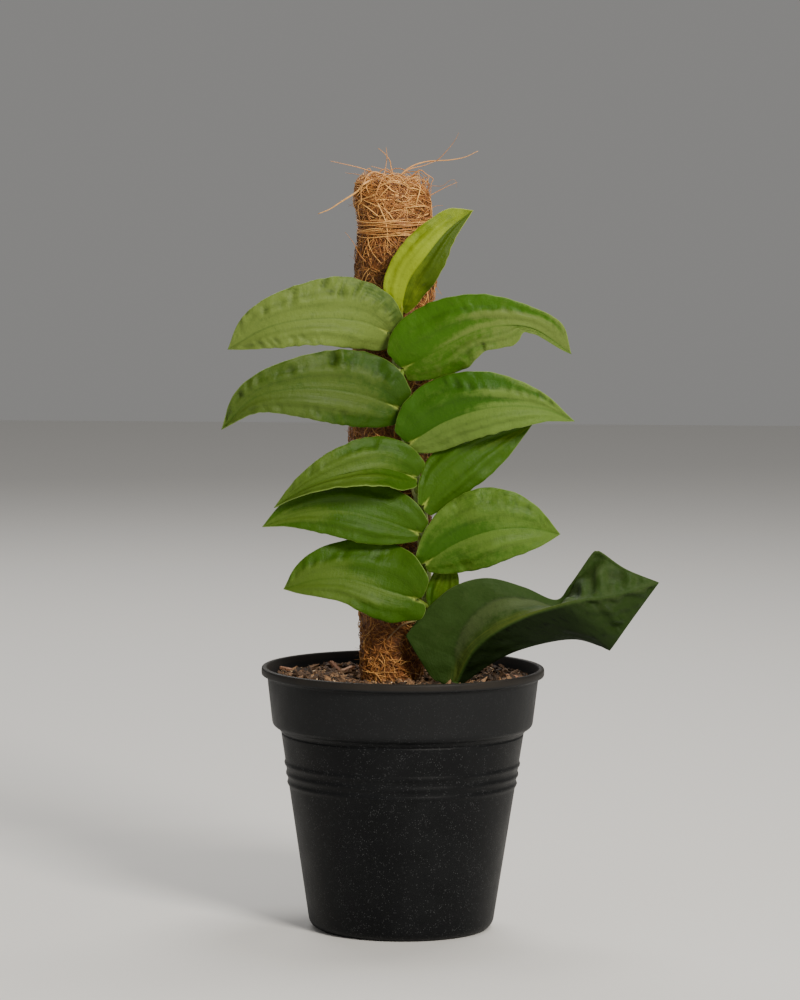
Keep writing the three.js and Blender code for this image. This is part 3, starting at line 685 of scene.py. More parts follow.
# Tones of the potting mix from peat black over bark brown to pale grit, and of the bark chips
MIX = CrumbFinish("potting mix", (
    (0.0, (0.018, 0.011, 0.007)), (0.35, (0.10, 0.052, 0.024)), (0.6, (0.30, 0.165, 0.078)),
    (0.8, (0.62, 0.40, 0.21)), (1.0, (0.9, 0.72, 0.50)),
))
BARK = CrumbFinish("bark", (
    (0.0, (0.06, 0.026, 0.014)), (0.5, (0.27, 0.125, 0.068)), (1.0, (0.6, 0.36, 0.22)),
))


def revolve(profile: Array, sides: int, centre: Pair = (0.0, 0.0)) -> Array:
    """Rings of points round a vertical axis: x = cx + r cos a, y = cy + r sin a, z = z.

    Args:
        profile: Radius and height, one pair per ring.
        sides: Points in each ring.
        centre: Where the axis stands.

    Returns:
        Points as rings by sides by 3.
    """
    angle = np.linspace(0, FULL_TURN, sides, endpoint=False)
    x = centre[0] + profile[:, :1] * np.cos(angle)
    y = centre[1] + profile[:, :1] * np.sin(angle)
    return np.stack([x, y, np.broadcast_to(profile[:, 1:], x.shape)], axis=-1)


def arc(centre: Pair, size: float, start: float, end: float, steps: int) -> Array:
    """Arc in the radius-height plane, angles in degrees from outwards to up."""
    angle = np.radians(np.linspace(start, end, steps))
    return np.stack([centre[0] + size * np.cos(angle), centre[1] + size * np.sin(angle)], axis=-1)


def turn_matrices(turn: Array, tip: Array) -> Array:
    """Matrices that tip a row vector about Y and then turn it about Z, angles in radians.

    Args:
        turn: Angles about Z.
        tip: Angles about Y.

    Returns:
        One 3 by 3 matrix per pair of angles.
    """
    c, s = np.cos(tip), np.sin(tip)
    zero, one = np.zeros_like(c), np.ones_like(c)
    tipped = np.stack([c, zero, -s, zero, one, zero, s, zero, c], axis=-1).reshape(-1, 3, 3)
    c, s = np.cos(turn), np.sin(turn)
    turned = np.stack([c, s, zero, -s, c, zero, zero, zero, one], axis=-1).reshape(-1, 3, 3)
    return tipped @ turned


@dataclass
class Pot:
    """Thin nursery pot: tapered wall with three ridges, a deep rim band and a rolled lip."""

    height: float = 111.5
    rim_radius: float = 60.0
    band_top: Pair = (57.5, 107.0)
    band_foot: Pair = (55.4, 88.6)
    body_top: Pair = (51.6, 84.0)
    corner_radius: float = 5.0
    floor_radius: float = 34.5
    lean: float = 8.9
    wall: float = 1.2
    floor: float = 1.6
    floor_rings: Pair = (28.0, 14.0)
    ridges: tuple[float, ...] = (62.0, 66.0, 70.4)
    ridge_height: float = 0.62
    ridge_width: float = 0.85
    sides: int = 192
    drain_count: int = 6
    drain_radius: float = 3.5
    drain_ring: float = 24.0
    drain_span: Pair = (-4.0, 6.0)

    def __post_init__(self) -> None:
        """Works out the round corner between the underside and the wall."""
        self.corner = arc((self.floor_radius, self.corner_radius), self.corner_radius, -90, -self.lean, 12)

    def body_radius(self, z: Array) -> Array:
        """Outer radius of the tapered wall: a straight taper plus a bell for each ridge.

        Args:
            z: Heights.

        Returns:
            The radius at each height.
        """
        foot = self.corner[-1]
        taper = foot[0] + (self.body_top[0] - foot[0]) * (z - foot[1]) / (self.body_top[1] - foot[1])
        return taper + self.ridge_height * sum(dip(z - ridge, self.ridge_width) for ridge in self.ridges)

    def profile(self) -> Array:
        """Outline from the middle of the underside round the lip to the middle of the floor.

        Returns:
            Radius and height, one pair per point.
        """
        (top_r, top_z), (foot_r, foot_z), (band_r, band_z) = self.body_top, self.band_foot, self.band_top
        rim, lip_z = self.rim_radius, self.height
        outer_z = np.linspace(self.corner[-1][1] + 1, top_z - 1.2, 110)
        outside = np.stack([self.body_radius(outer_z), outer_z], axis=-1)
        shoulder = Curve([
            (top_r - 0.15, top_z - 0.9), (top_r - 0.42, top_z - 0.25), (top_r + 0.25, top_z + 0.3),
            (top_r + 1.4, top_z + 1.7), (foot_r - 1.3, foot_z - 2.3), (foot_r - 0.35, foot_z - 1.3),
            (foot_r, foot_z),
        ]).at(np.linspace(0, 1, 22))
        band = np.linspace((foot_r + 0.1, foot_z + 0.8), (band_r, band_z - 0.4), 14)
        lip = Curve([
            (band_r + 0.05, band_z + 0.3), (band_r + 0.7, band_z + 0.75), (rim - 0.5, lip_z - 3.4),
            (rim - 0.05, lip_z - 2.9), (rim, lip_z - 1.1), (rim - 0.25, lip_z - 0.25), (rim - 0.9, lip_z),
            (rim - 1.8, lip_z - 0.05), (rim - 2.4, lip_z - 0.6), (band_r - self.wall, band_z - 0.5),
        ]).at(np.linspace(0, 1, 44))
        inner_band = np.linspace((band_r - self.wall - 0.1, band_z - 2), (foot_r - self.wall, foot_z + 1), 10)
        step = np.array([(foot_r - self.wall - 0.8, foot_z - 1.2), (top_r - self.wall + 0.3, top_z + 1.4)])
        inner_z = np.linspace(top_z, self.corner_radius + 1, 30)
        inside = np.stack([self.body_radius(inner_z) - self.wall, inner_z], axis=-1)
        floor = np.array([(radius, self.floor) for radius in (self.floor_radius, *self.floor_rings)])
        underside = np.array([(radius, 0.0) for radius in self.floor_rings[::-1]])
        parts = [underside, self.corner, outside, shoulder, band, lip, inner_band, step, inside, floor]
        return np.concatenate(parts)

    def drains(self) -> bpy.types.Object:
        """Makes round pegs where the floor's holes are.

        Returns:
            The pegs as one object that cuts the holes.
        """
        pegs = Shell()
        low, high = self.drain_span
        rim = np.array([(self.drain_radius, low), (self.drain_radius, high)])
        for angle in np.linspace(0, FULL_TURN, self.drain_count, endpoint=False):
            centre = (self.drain_ring * math.cos(angle), self.drain_ring * math.sin(angle))
            pegs.add_loft(revolve(rim, 32, centre), (*centre, low), (*centre, high))
        pegs.build("drain_pegs", bpy.data.materials.new("cutter"), Slot.POT)
        return bpy.data.objects["drain_pegs"]

    def build(self) -> None:
        """Builds the pot and cuts its drain holes."""
        shell = Shell()
        shell.add_loft(revolve(self.profile(), self.sides), (0.0, 0.0, 0.0), (0.0, 0.0, self.floor))
        shell.build("pot_shell", PotFinish().material(), Slot.POT, "pot")
        piece, cutter = bpy.data.objects["pot_shell"], self.drains()
        cut = piece.modifiers.new("drain holes", "BOOLEAN")
        cut.object = cutter
        cut.operation = "DIFFERENCE"
        with bpy.context.temp_override(object=piece, active_object=piece):
            bpy.ops.object.modifier_apply(modifier=cut.name)
        bpy.data.objects.remove(cutter)


@dataclass(frozen=True)
class Lumps:
    """One kind of crumb: seed of its draw, number, half width, greatest length over width, and tone."""

    seed: int
    count: int
    size: Pair
    long: float
    tone: Pair


@dataclass
class PottingMix:
    """Soil that fills the pot: a bed, loose crumbs, pale grit and a few bark chips on it."""

    level: float = 104.5
    floor: float = 1.9
    edge_radius: float = 55.4
    relief: float = 0.7
    sides: int = 160
    pole_clear: float = 11.0
    crumbs: tuple[Lumps, ...] = (
        Lumps(11, 4300, (0.4, 1.9), 2.2, (0.0, 0.58)), Lumps(12, 2150, (0.25, 0.6), 5.5, (0.15, 0.95)),
    )
    grit: tuple[Lumps, ...] = (Lumps(13, 1000, (0.4, 0.9), 3.0, (0.7, 0.95)),)
    # Outline of the bed's underside and side, as radius and height
    side: tuple[Pair, ...] = (
        (20.0, 1.9), (33.5, 1.9), (37.0, 6.5), (50.2, 84.0), (53.8, 89.6), (55.3, 102.0),
    )
    # Bark chips: x, y, length, width, turn and tilt in degrees
    chips: tuple[tuple[float, float, float, float, float, float], ...] = (
        (-47.5, 20.0, 13.0, 3.2, -14.0, 10.0), (-29.0, 24.0, 7.5, 3.0, -30.0, 42.0),
        (-24.0, 20.0, 8.0, 2.6, 35.0, -16.0), (-38.5, -33.0, 7.0, 3.2, 30.0, 4.0),
        (33.0, 20.0, 7.0, 2.8, 60.0, 12.0), (-20.0, 40.0, 9.0, 3.5, 15.0, 8.0),
        (12.0, 44.0, 7.0, 3.2, -50.0, 0.0), (-49.0, -8.0, 7.0, 2.6, 80.0, 6.0),
        (46.0, -4.0, 6.0, 2.4, -20.0, 8.0), (24.0, -42.0, 7.0, 3.0, 10.0, 0.0),
        (-8.0, -46.0, 8.0, 2.8, -25.0, 5.0),
    )
    # A chip's sections from its underside up: share of its full outline, and height
    chip_levels: tuple[Pair, ...] = ((0.7, -0.7), (0.96, -0.5), (1.0, 0.0), (0.97, 0.42), (0.78, 0.62))
    chip_sides: int = 18

    def height(self, x: Array, y: Array) -> Array:
        """Height of the bed: two low waves that cross, a fall at the wall, lumps, and banks at its sides.

        Args:
            x: Places to the right.
            y: Places to the back.

        Returns:
            The height at each place.
        """
        rolling = np.sin(x / 7 + 1) * np.cos(y / 8.5) + 0.6 * np.sin((x + 2 * y) / 5)
        fall = 0.1 * np.maximum(0, np.hypot(x, y) - 50.0)
        lumps = Ripple(3, 3.2, 2).at(x, y) * 0.28
        banks = 1.3 * smoothstep(np.abs(x), 14.0, 44.0) + 0.6 * smoothstep(y, -5.0, 30.0)
        return self.level + self.relief * rolling - fall + lumps + banks

    def height_at(self, x: float, y: float) -> float:
        """Height of the bed at one place."""
        return float(self.height(np.array([x]), np.array([y]))[0])

    def bed(self) -> None:
        """Builds the closed body of the mix, its top shaped by height."""
        radii = np.linspace(self.edge_radius, 0.7, 60)
        top_outline = np.stack([radii, np.full(60, self.level)], axis=-1)
        rings = revolve(np.concatenate([np.array(self.side), top_outline]), self.sides)
        top = rings[len(self.side):]
        top[..., 2] = self.height(top[..., 0], top[..., 1])
        shell = Shell()
        shell.add_loft(rings, (0, 0, self.floor), (0, 0, self.height_at(0, 0)), tone=0.0)
        shell.build("soil_bed", MIX.material(), Slot.SOIL, "soil")

    def scatter(self, reach: Array, random: np.random.Generator) -> tuple[Array, Array]:
        """Even places on the bed, clear of the pot's wall and outside the pole.

        Args:
            reach: How far each lump stands out from its place.
            random: Stream of random numbers.

        Returns:
            x and y of the places.
        """
        radius = (self.edge_radius + 0.3 - 0.9 * reach) * np.sqrt(random.uniform(0, 1, len(reach)))
        angle = random.uniform(0, FULL_TURN, len(reach))
        off_x, off_y = radius * np.cos(angle) - Pole.x, radius * np.sin(angle) - Pole.y
        push = np.maximum(1, self.pole_clear / np.hypot(off_x, off_y))
        return Pole.x + off_x * push, Pole.y + off_y * push

    def lumps(self, shell: Shell, kind: Lumps) -> None:
        """Adds lumps: an octahedron with its corners moved, stretched, turned and dropped on the bed.

        Args:
            shell: Where they go.
            kind: What they are like.
        """
        random = np.random.default_rng(kind.seed)
        count = kind.count
        corners = np.array([(1, 0, 0), (0, 1, 0), (-1, 0, 0), (0, -1, 0), (0.4, 0.3, 0.9), (-0.3, -0.4, 0.9),
                            (0.3, -0.4, -0.9), (-0.3, 0.4, -0.9)], float)
        faces = np.array([(0, 1, 4), (1, 2, 4), (2, 5, 4), (2, 3, 5), (3, 0, 5), (0, 4, 5),
                          (1, 0, 6), (1, 6, 7), (2, 1, 7), (3, 2, 7), (3, 7, 6), (0, 3, 6)])
        size = between(kind.size, random.uniform(0, 1, count) ** 2)
        long, flat = random.uniform(1, kind.long, count), random.uniform(0.45, 0.9, count)
        stretch = np.stack([long, np.ones(count), flat], axis=-1)
        x, y = self.scatter(size * long, random)
        lumps = corners * (size[:, None] * stretch)[:, None] * random.uniform(0.7, 1.25, (count, 8, 3))
        turn, tip = random.uniform(0, FULL_TURN, count), random.normal(0, 0.55, count)
        lumps = lumps @ turn_matrices(turn, tip)
        z = self.height(x, y) + size * random.uniform(-0.1, 0.9, count)
        lumps += np.stack([x, y, z], axis=-1)[:, None]
        numbers = (faces[None] + np.arange(count)[:, None, None] * len(corners)).reshape(-1, 3)
        shell.add(lumps, [numbers], tone=np.repeat(random.uniform(*kind.tone, count), len(corners)))

    def bark(self) -> None:
        """Builds the bark chips: rounded slabs with a ragged outline, lifted by their tilt."""
        shell = Shell()
        random = np.random.default_rng(23)
        angle = np.linspace(0, FULL_TURN, self.chip_sides, endpoint=False)
        levels = np.array(self.chip_levels)
        for x, y, length, width, turn, tilt in self.chips:
            ragged = random.uniform(0.66, 1.15, self.chip_sides)
            out = levels[:, :1] * ragged * random.uniform(0.9, 1.1, (len(levels), self.chip_sides))
            across = np.sign(np.sin(angle)) * np.abs(np.sin(angle)) ** 0.4 * width / 2
            reach = np.sign(np.cos(angle)) * np.abs(np.cos(angle)) ** 0.5 * length / 2
            rings = np.stack([out * reach, out * across, np.broadcast_to(levels[:, 1:], out.shape)], axis=-1)
            matrix = turn_matrices(np.radians([turn]), np.radians([tilt]))[0]
            rise = 0.8 + abs(math.sin(math.radians(tilt))) * length * 0.3
            base = np.array([x, y, self.height_at(x, y) + rise])
            middle = np.array([(0, 0, levels[0, 1]), (0, 0, levels[-1, 1])]) @ matrix + base
            shell.add_loft(rings @ matrix + base, middle[0], middle[1], tone=random.uniform(0.45, 0.8))
        shell.build("bark_chips", BARK.material(), Slot.SOIL, flat=True)

    def build(self) -> None:
        """Builds the bed, the crumbs, the grit and the chips."""
        self.bed()
        for name, kinds in (("soil_crumbs", self.crumbs), ("pale_grit", self.grit)):
            shell = Shell()
            for kind in kinds:
                self.lumps(shell, kind)
            shell.build(name, MIX.material(), Slot.SOIL, flat=True)
        self.bark()


@dataclass(frozen=True)
class Fibres:
    """One kind of fibre that lies on the coir, each measure with its least and its most.

    slant is the spread of the heading about level in radians, and places how many points a fibre has.
    """

    seed: int
    count: int
    length: Pair
    thick: Pair
    lift: Pair
    tone: Pair
    slant: float
    places: int = 7


@dataclass
class Pole:
    """Coir pole: a stake in a sleeve of matted fibre, bound near its top, with a loose crown."""

    x: float = -4.7
    y: float = 5.0
    foot: float = 20.0
    bore: float = 7.3
    bore_top: float = 303.0
    felt_depth: float = 0.7
    felt_rings: int = 260
    # Coir radius at heights above the ground
    sleeve: tuple[Pair, ...] = (
        (11.6, 20), (11.8, 96), (12.3, 104), (12.8, 112), (13.0, 122), (13.1, 134), (13.8, 148),
        (14.8, 162), (16.0, 177), (17.2, 192), (18.1, 206), (18.1, 220), (17.6, 234), (17.0, 248),
        (16.6, 262), (16.6, 275), (16.6, 285), (15.6, 291), (15.0, 294), (14.9, 300), (15.1, 303),
        (15.3, 309), (15.0, 314),
    )
    # The sleeve's top folds over into its mouth
    fold: tuple[Pair, ...] = (
        (14.4, 317.0), (12.4, 318.2), (10.4, 316.2), (9.0, 311.0), (8.4, 304.0),
    )
    crown_lean: float = -1.1
    relief: float = 0.55
    binding_low: float = 294.2
    binding_high: float = 299.8
    binding_radius: float = 15.3
    sides: int = 120
    # Heights where the fibres, the stray ones, the straw and its loosest wisps begin
    fibre_foot: float = 101.0
    stray_foot: float = 108.0
    straw_foot: float = 293.0
    wisp_foot: float = 301.0
    brown: Fibres = Fibres(31, 6400, (4, 15), (0.1, 0.24), (-0.3, 1.3), (0.06, 0.98), 0.9, places=5)
    straw: Fibres = Fibres(33, 3000, (7, 22), (0.12, 0.27), (-0.6, 0.8), (0.1, 0.85), 0.75)
    wisps: Fibres = Fibres(34, 190, (10, 26), (0.16, 0.34), (0.4, 1.3), (0.75, 1.1), 0.7)
    # Long stray fibres: thickness at the root, then the route from root to tip
    strands: tuple[tuple[float, tuple[Point, ...]], ...] = (
        (0.55, ((-15.3, -6, 317.2), (-18.4, -7.5, 315.4), (-20.3, -7, 312.9), (-23.2, -7, 310.9),
                (-27.8, -6, 308), (-32, -5, 305.2), (-37, -4, 303.1))),
        (0.42, ((-8, -5, 318), (-10.7, -5, 320), (-13.6, -6, 320.9), (-16.3, -7, 319.6), (-17.8, -8.5, 316.5),
                (-19, -9, 313.3), (-18.6, -9.5, 308))),
        (0.34, ((-7, 3, 317), (-10.7, 3, 319.9), (-14.5, 2, 320.7), (-20, 0, 322.6), (-32.1, -2, 325.3))),
        (0.34, ((-1, -4, 316), (-4.8, -4, 319.2), (-9.5, -3, 321.7), (-14.9, -4, 323.3))),
        (0.36, ((-5, -3, 317), (-6.5, -3, 323), (-7, -2, 325.5), (-9.1, -1, 328.4), (-12, 0, 330.8))),
        (0.34, ((-13, -12, 311), (-11.5, -12.5, 315.1), (-9.4, -8, 320.1), (-8.6, -2, 323.8),
                (-8.3, 1, 327.9), (-8.7, 3, 331.2))),
        (0.42, ((-6, -4, 315), (-2.7, -3, 319.2), (0.4, -2, 322.2), (4.6, -1, 324.3), (9.8, 0, 325.5),
                (17.8, 0, 326), (24.5, 0, 327.3), (30, 0, 329.9))),
        (0.36, ((-7, -7, 314), (-3.6, -6, 318.8), (1.4, -5, 322.2), (6.7, -3, 323.5), (12.3, -2, 325.6))),
        (0.2, ((9.8, 0, 325.3), (13, -1, 326), (17.1, -1, 330.2), (20.3, -1, 334.4), (21.8, -1, 337.5))),
        (0.3, ((2, 0, 319), (5.7, 0, 321.7), (8.2, 0, 320.1), (11.2, 0, 318), (10.4, -1, 315.9),
               (10.2, -3, 310))),
        (0.14, ((8, 2, 313), (10.3, 2, 315), (15.2, 2, 315.1), (17.9, 2, 317.2), (20.4, 2, 317.6),
                (21.3, 2, 314.5))),
        (0.22, ((7, -8, 302), (8.7, -6, 304.7), (12.5, -5, 306.8), (15.4, -5, 307))),
        (0.22, ((-16.7, -10, 283.4), (-19.2, -9, 286.2), (-21.8, -6, 290.7), (-23.5, -7, 293.2),
                (-25.6, -7, 295.7))),
        (0.22, ((8, -3, 279), (10.2, -2, 276), (12.8, -1, 273.1), (15.3, -1, 269.3))),
        (0.28, ((5, 12, 308), (15, 14, 313.5), (21.5, 15, 316.5))),
        (0.28, ((-12, 14, 308), (-18, 20, 318), (-26, 25, 320))),
        (0.28, ((-2, 16, 310), (2, 24, 319), (8, 31, 317))),
    )

    def __post_init__(self) -> None:
        """Makes the sleeve's outline, from its foot over the fold and down into the mouth."""
        self.outline = Curve(self.sleeve + self.fold)
        share = np.linspace(0, 1, 900)
        self.run = share * self.outline.length
        self.table = self.outline.at(share)

    def profile(self, run: Array) -> Array:
        """Radius and height of the sleeve at a length along its outline."""
        return np.stack([np.interp(run, self.run, column) for column in self.table.T])

    def radius_at(self, z: Array) -> Array:
        """Radius of the sleeve's outside at a height."""
        rising = self.table[:np.argmax(self.table[:, 1])]
        return np.interp(z, rising[:, 1], rising[:, 0])

    def run_at(self, z: float) -> float:
        """Length along the outline where it first reaches a height."""
        return float(self.run[np.argmax(self.table[:, 1] >= z)])

    def about(self, angle: Array, out: Array, z: Array, lean: Array | float = 0.0) -> Array:
        """Points round the pole: x = axis + lean + out cos angle, y = axis + out sin angle."""
        x, y = self.x + lean + out * np.cos(angle), self.y + out * np.sin(angle)
        return np.stack(np.broadcast_arrays(x, y, z), axis=-1)

    def surface(self, angle: Array, run: Array, lift: Array | float) -> Array:
        """Points on the sleeve.

        The outline gives radius and height at a length along it, lumps are added to the radius, and
        lift moves the point along the outline's normal. The rim is ragged: its height is lowered by
        waves round the pole.

        Args:
            angle: Angle round the pole.
            run: Length along the outline from its foot.
            lift: Distance off the surface.

        Returns:
            Points, one per place.
        """
        step = 0.6
        radius, height = self.profile(run)
        d_radius, d_height = self.profile(run + step) - self.profile(run - step)
        size = np.maximum(np.hypot(d_radius, d_height), 1e-9)
        out = radius + self.lumps(height, angle) + lift * d_height / size
        up = height - lift * d_radius / size
        ragged = 1.8 + 1.7 * np.cos(angle + 0.5) + 0.7 * np.sin(angle * 2 + 0.6) + 0.6 * np.sin(angle * 5 + 2)
        up = up - ragged * smoothstep(height, 305.0, 317.0)
        return self.about(angle, out, up, self.crown_lean * smoothstep(height, 299.0, 309.0))

    def lumps(self, z: Array, angle: Array) -> Array:
        """Lumps of the wrapped coir: two crossing waves, none in the soil or under the binding.

        Args:
            z: Height.
            angle: Angle round the pole.

        Returns:
            What is added to the radius.
        """
        above_soil = smoothstep(z, 105.5, 113.5)
        middle = (self.binding_low + self.binding_high) / 2
        off_binding = np.minimum(1, np.abs(z - middle) / 8) ** 2
        waves = np.sin(3 * angle + z / 11) + np.sin(5 * angle - z / 6.5 + 1) * 0.7
        return self.relief * above_soil * off_binding * waves

    def core(self) -> None:
        """Gives the stake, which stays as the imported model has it, its wood."""
        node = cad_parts["pole_core"]
        node.data.materials.clear()
        node.data.materials.append(WoodFinish().material())

    def felt(self) -> None:
        """Builds the body of the sleeve under its fibres: the outline set in, with a straight bore."""
        run = np.linspace(1.0, self.outline.length, self.felt_rings)
        angle = np.linspace(0, FULL_TURN, self.sides, endpoint=False)
        grid = self.surface(angle[None], run[:, None], -self.felt_depth)
        wall = np.array([(self.bore, self.bore_top), (self.bore, self.foot)])
        bore = revolve(wall, self.sides, (self.x, self.y))
        rings = np.concatenate([grid, bore])
        shell = Shell()
        shell.add_closed(rings, [ring_faces(len(rings), self.sides, closed=True)], tone=0.27)
        shell.build("coir_felt", CoirFinish("coir felt").material(), Slot.COIR, "coir_sleeve")

    def fibres(self, shell: Shell, kind: Fibres, low: float, high: float) -> None:
        """Adds fibres that lie on the sleeve as arcs of random heading and bend.

        Heading h grows evenly along the fibre. Its place along the outline is the sum of sin h and its
        angle the sum of cos h over the radius. It rises off the surface between its two ends.

        Args:
            shell: Where they go.
            kind: What they are like.
            low: Lowest start along the outline.
            high: Highest start along the outline.
        """
        draw = Draw(kind.seed, kind.count)
        share = np.linspace(0, 1, kind.places)
        span = draw.even(*kind.length)
        x = share * span
        heading = draw.bell(kind.slant) + np.where(draw.random.random(draw.shape) < 0.5, 0, np.pi)
        angles = heading + draw.bell(1.3) / span * x
        middle = (angles[:, 1:] + angles[:, :-1]) / 2
        step = np.diff(x, axis=1)
        zero = np.zeros(draw.shape)
        run = draw.even(low, high) + np.concatenate([zero, np.cumsum(np.sin(middle) * step, 1)], 1)
        run = np.clip(run, self.run_at(self.fibre_foot - 1), self.outline.length - 0.5)
        turn = np.concatenate([zero, np.cumsum(np.cos(middle) * step, 1)], 1) / self.profile(run[:, :1])[0]
        angle = draw.even(0, FULL_TURN) + turn
        rise = -0.3 + (draw.even(*kind.lift) + 0.3) * np.sin(np.linspace(0, np.pi, kind.places)) ** 0.7
        radii = draw.even(*kind.thick) * (0.45 + 0.55 * np.sin(np.linspace(0.15, np.pi - 0.15, kind.places)))
        tones = between(kind.tone, draw.random.beta(1.6, 1.6, draw.shape))
        shell.add_tubes(self.surface(angle, run, rise), radii, 3, tone=tones)

    def stray(self, shell: Shell, draw: Draw, low: float, high: float) -> None:
        """Adds short fibres that stand off the coir: each leaves the surface and bends along it.

        Args:
            shell: Where they go.
            draw: Their random numbers.
            low: Lowest root along the outline.
            high: Highest root along the outline.
        """
        share = np.linspace(0, 1, 6)
        reach = draw.even(2.5, 8.0)
        run = draw.even(low, high) + draw.bell(0.5) * reach * share
        swing = draw.sign() * draw.even(0.4, 1.0)
        angle = draw.even(0, FULL_TURN) + swing * reach * share / 16
        rise = -0.4 + reach * draw.even(0.15, 0.62) * share ** draw.even(0.7, 2.2)
        radii = draw.even(0.06, 0.12) * (1.15 - 0.7 * share)
        shell.add_tubes(self.surface(angle, run, rise), radii, 3, tone=draw.even(0.3, 0.95))

    def nest(self, shell: Shell, draw: Draw) -> None:
        """Adds loose fibres that cross the mouth: arcs from one side of the fold to the other.

        Args:
            shell: Where they go.
            draw: Their random numbers.
        """
        share = np.linspace(0, 1, 9)
        start = draw.even(0, FULL_TURN)
        end = start + np.pi + draw.bell(0.9)
        near, far = draw.even(6, 14), draw.even(6, 14)
        x = near * np.cos(start) * (1 - share) + far * np.cos(end) * share
        y = near * np.sin(start) * (1 - share) + far * np.sin(end) * share
        sag = np.sin(np.pi * share) * draw.even(-3.5, 2.5)
        swirl = np.sin(np.pi * share) * draw.bell(3.0)
        z = draw.even(309.5, 317.5) + sag
        x = self.x + self.crown_lean + x - swirl * np.sin(start)
        y = self.y + y + swirl * np.cos(start)
        radii = np.broadcast_to(draw.even(0.12, 0.24), x.shape)
        shell.add_tubes(np.stack([x, y, z], axis=-1), radii, 3, tone=draw.even(0.3, 1.0))

    def hoops(self, shell: Shell, draw: Draw) -> None:
        """Adds loops that stand a little over the rim: arcs round the pole that rise and come down.

        Args:
            shell: Where they go.
            draw: Their random numbers.
        """
        share = np.linspace(0, 1, 10)
        angle = draw.even(0, FULL_TURN) + draw.even(-2.0, 2.0) * share
        out = np.minimum(draw.even(10, 17) + draw.bell(2.0) * share, 15.6)
        z = draw.even(312, 316.5) + draw.even(0.5, 6.0) * np.sin(np.pi * share)
        radii = draw.even(0.1, 0.24) * (1 - 0.4 * np.abs(2 * share - 1) ** 4)
        shell.add_tubes(self.about(angle, out, z, self.crown_lean), radii, 3, tone=draw.even(0.5, 1.0))

    def coir(self) -> None:
        """Builds the fibres: red brown below the binding, straw above it."""
        neck, end = self.run_at(self.straw_foot), self.outline.length - 2
        shell = Shell()
        self.fibres(shell, self.brown, self.run_at(self.fibre_foot), neck)
        self.stray(shell, Draw(32, 700), self.run_at(self.stray_foot), neck)
        shell.build("coir_fibres", CoirFinish("coir brown").material(), Slot.COIR)
        shell = Shell()
        self.fibres(shell, self.straw, neck, end)
        self.fibres(shell, self.wisps, self.run_at(self.wisp_foot), end)
        self.stray(shell, Draw(35, 110), neck, end)
        self.nest(shell, Draw(36, 260))
        self.hoops(shell, Draw(37, 110))
        shell.build("coir_crown", CoirFinish("coir straw").material(), Slot.COIR)

    def long_strands(self) -> None:
        """Builds the long stray fibres at the top, each thinning to its tip."""
        shell = Shell()
        share = np.linspace(0, 1, 28)
        for thick, points in self.strands:
            radius = thick * (1 - 0.72 * share)
            shell.add_tubes(Curve(points).at(share)[None], radius[None], 5, tone=0.35 + thick)
        shell.build("stray_strands", CoirFinish("coir strand").material(), Slot.COIR)

    def binding(self) -> None:
        """Builds the bound neck: strands wound round the sleeve, each a slow screw with a little wander."""
        draw = Draw(41, 52)
        share = np.linspace(0, 1, 48)
        off_middle = np.abs(2 * share - 1)
        start = draw.even(0, FULL_TURN)
        angle = start + draw.even(0.5, 1.6) * np.pi * share * draw.sign()
        height = draw.even(self.binding_low - 0.6, self.binding_high + 1.6)
        z = height + draw.bell(2.4) * (share - 0.5) + 0.6 * np.sin(3 * angle + start)
        out = self.binding_radius + draw.even(0.0, 1.1) - 0.7 * off_middle**5
        radii = draw.even(0.12, 0.28) * (1 - 0.6 * off_middle**8)
        shell = Shell()
        shell.add_tubes(self.about(angle, out, z), radii, 5, tone=draw.even(0.3, 1.0))
        shell.build("binding_thread", CoirFinish("bound straw").material(), Slot.BINDING, "binding")

    def build(self) -> None:
        """Builds the stake, the sleeve, its fibres, the strands and the binding."""
        self.core()
        self.felt()
        self.coir()
        self.long_strands()
        self.binding()


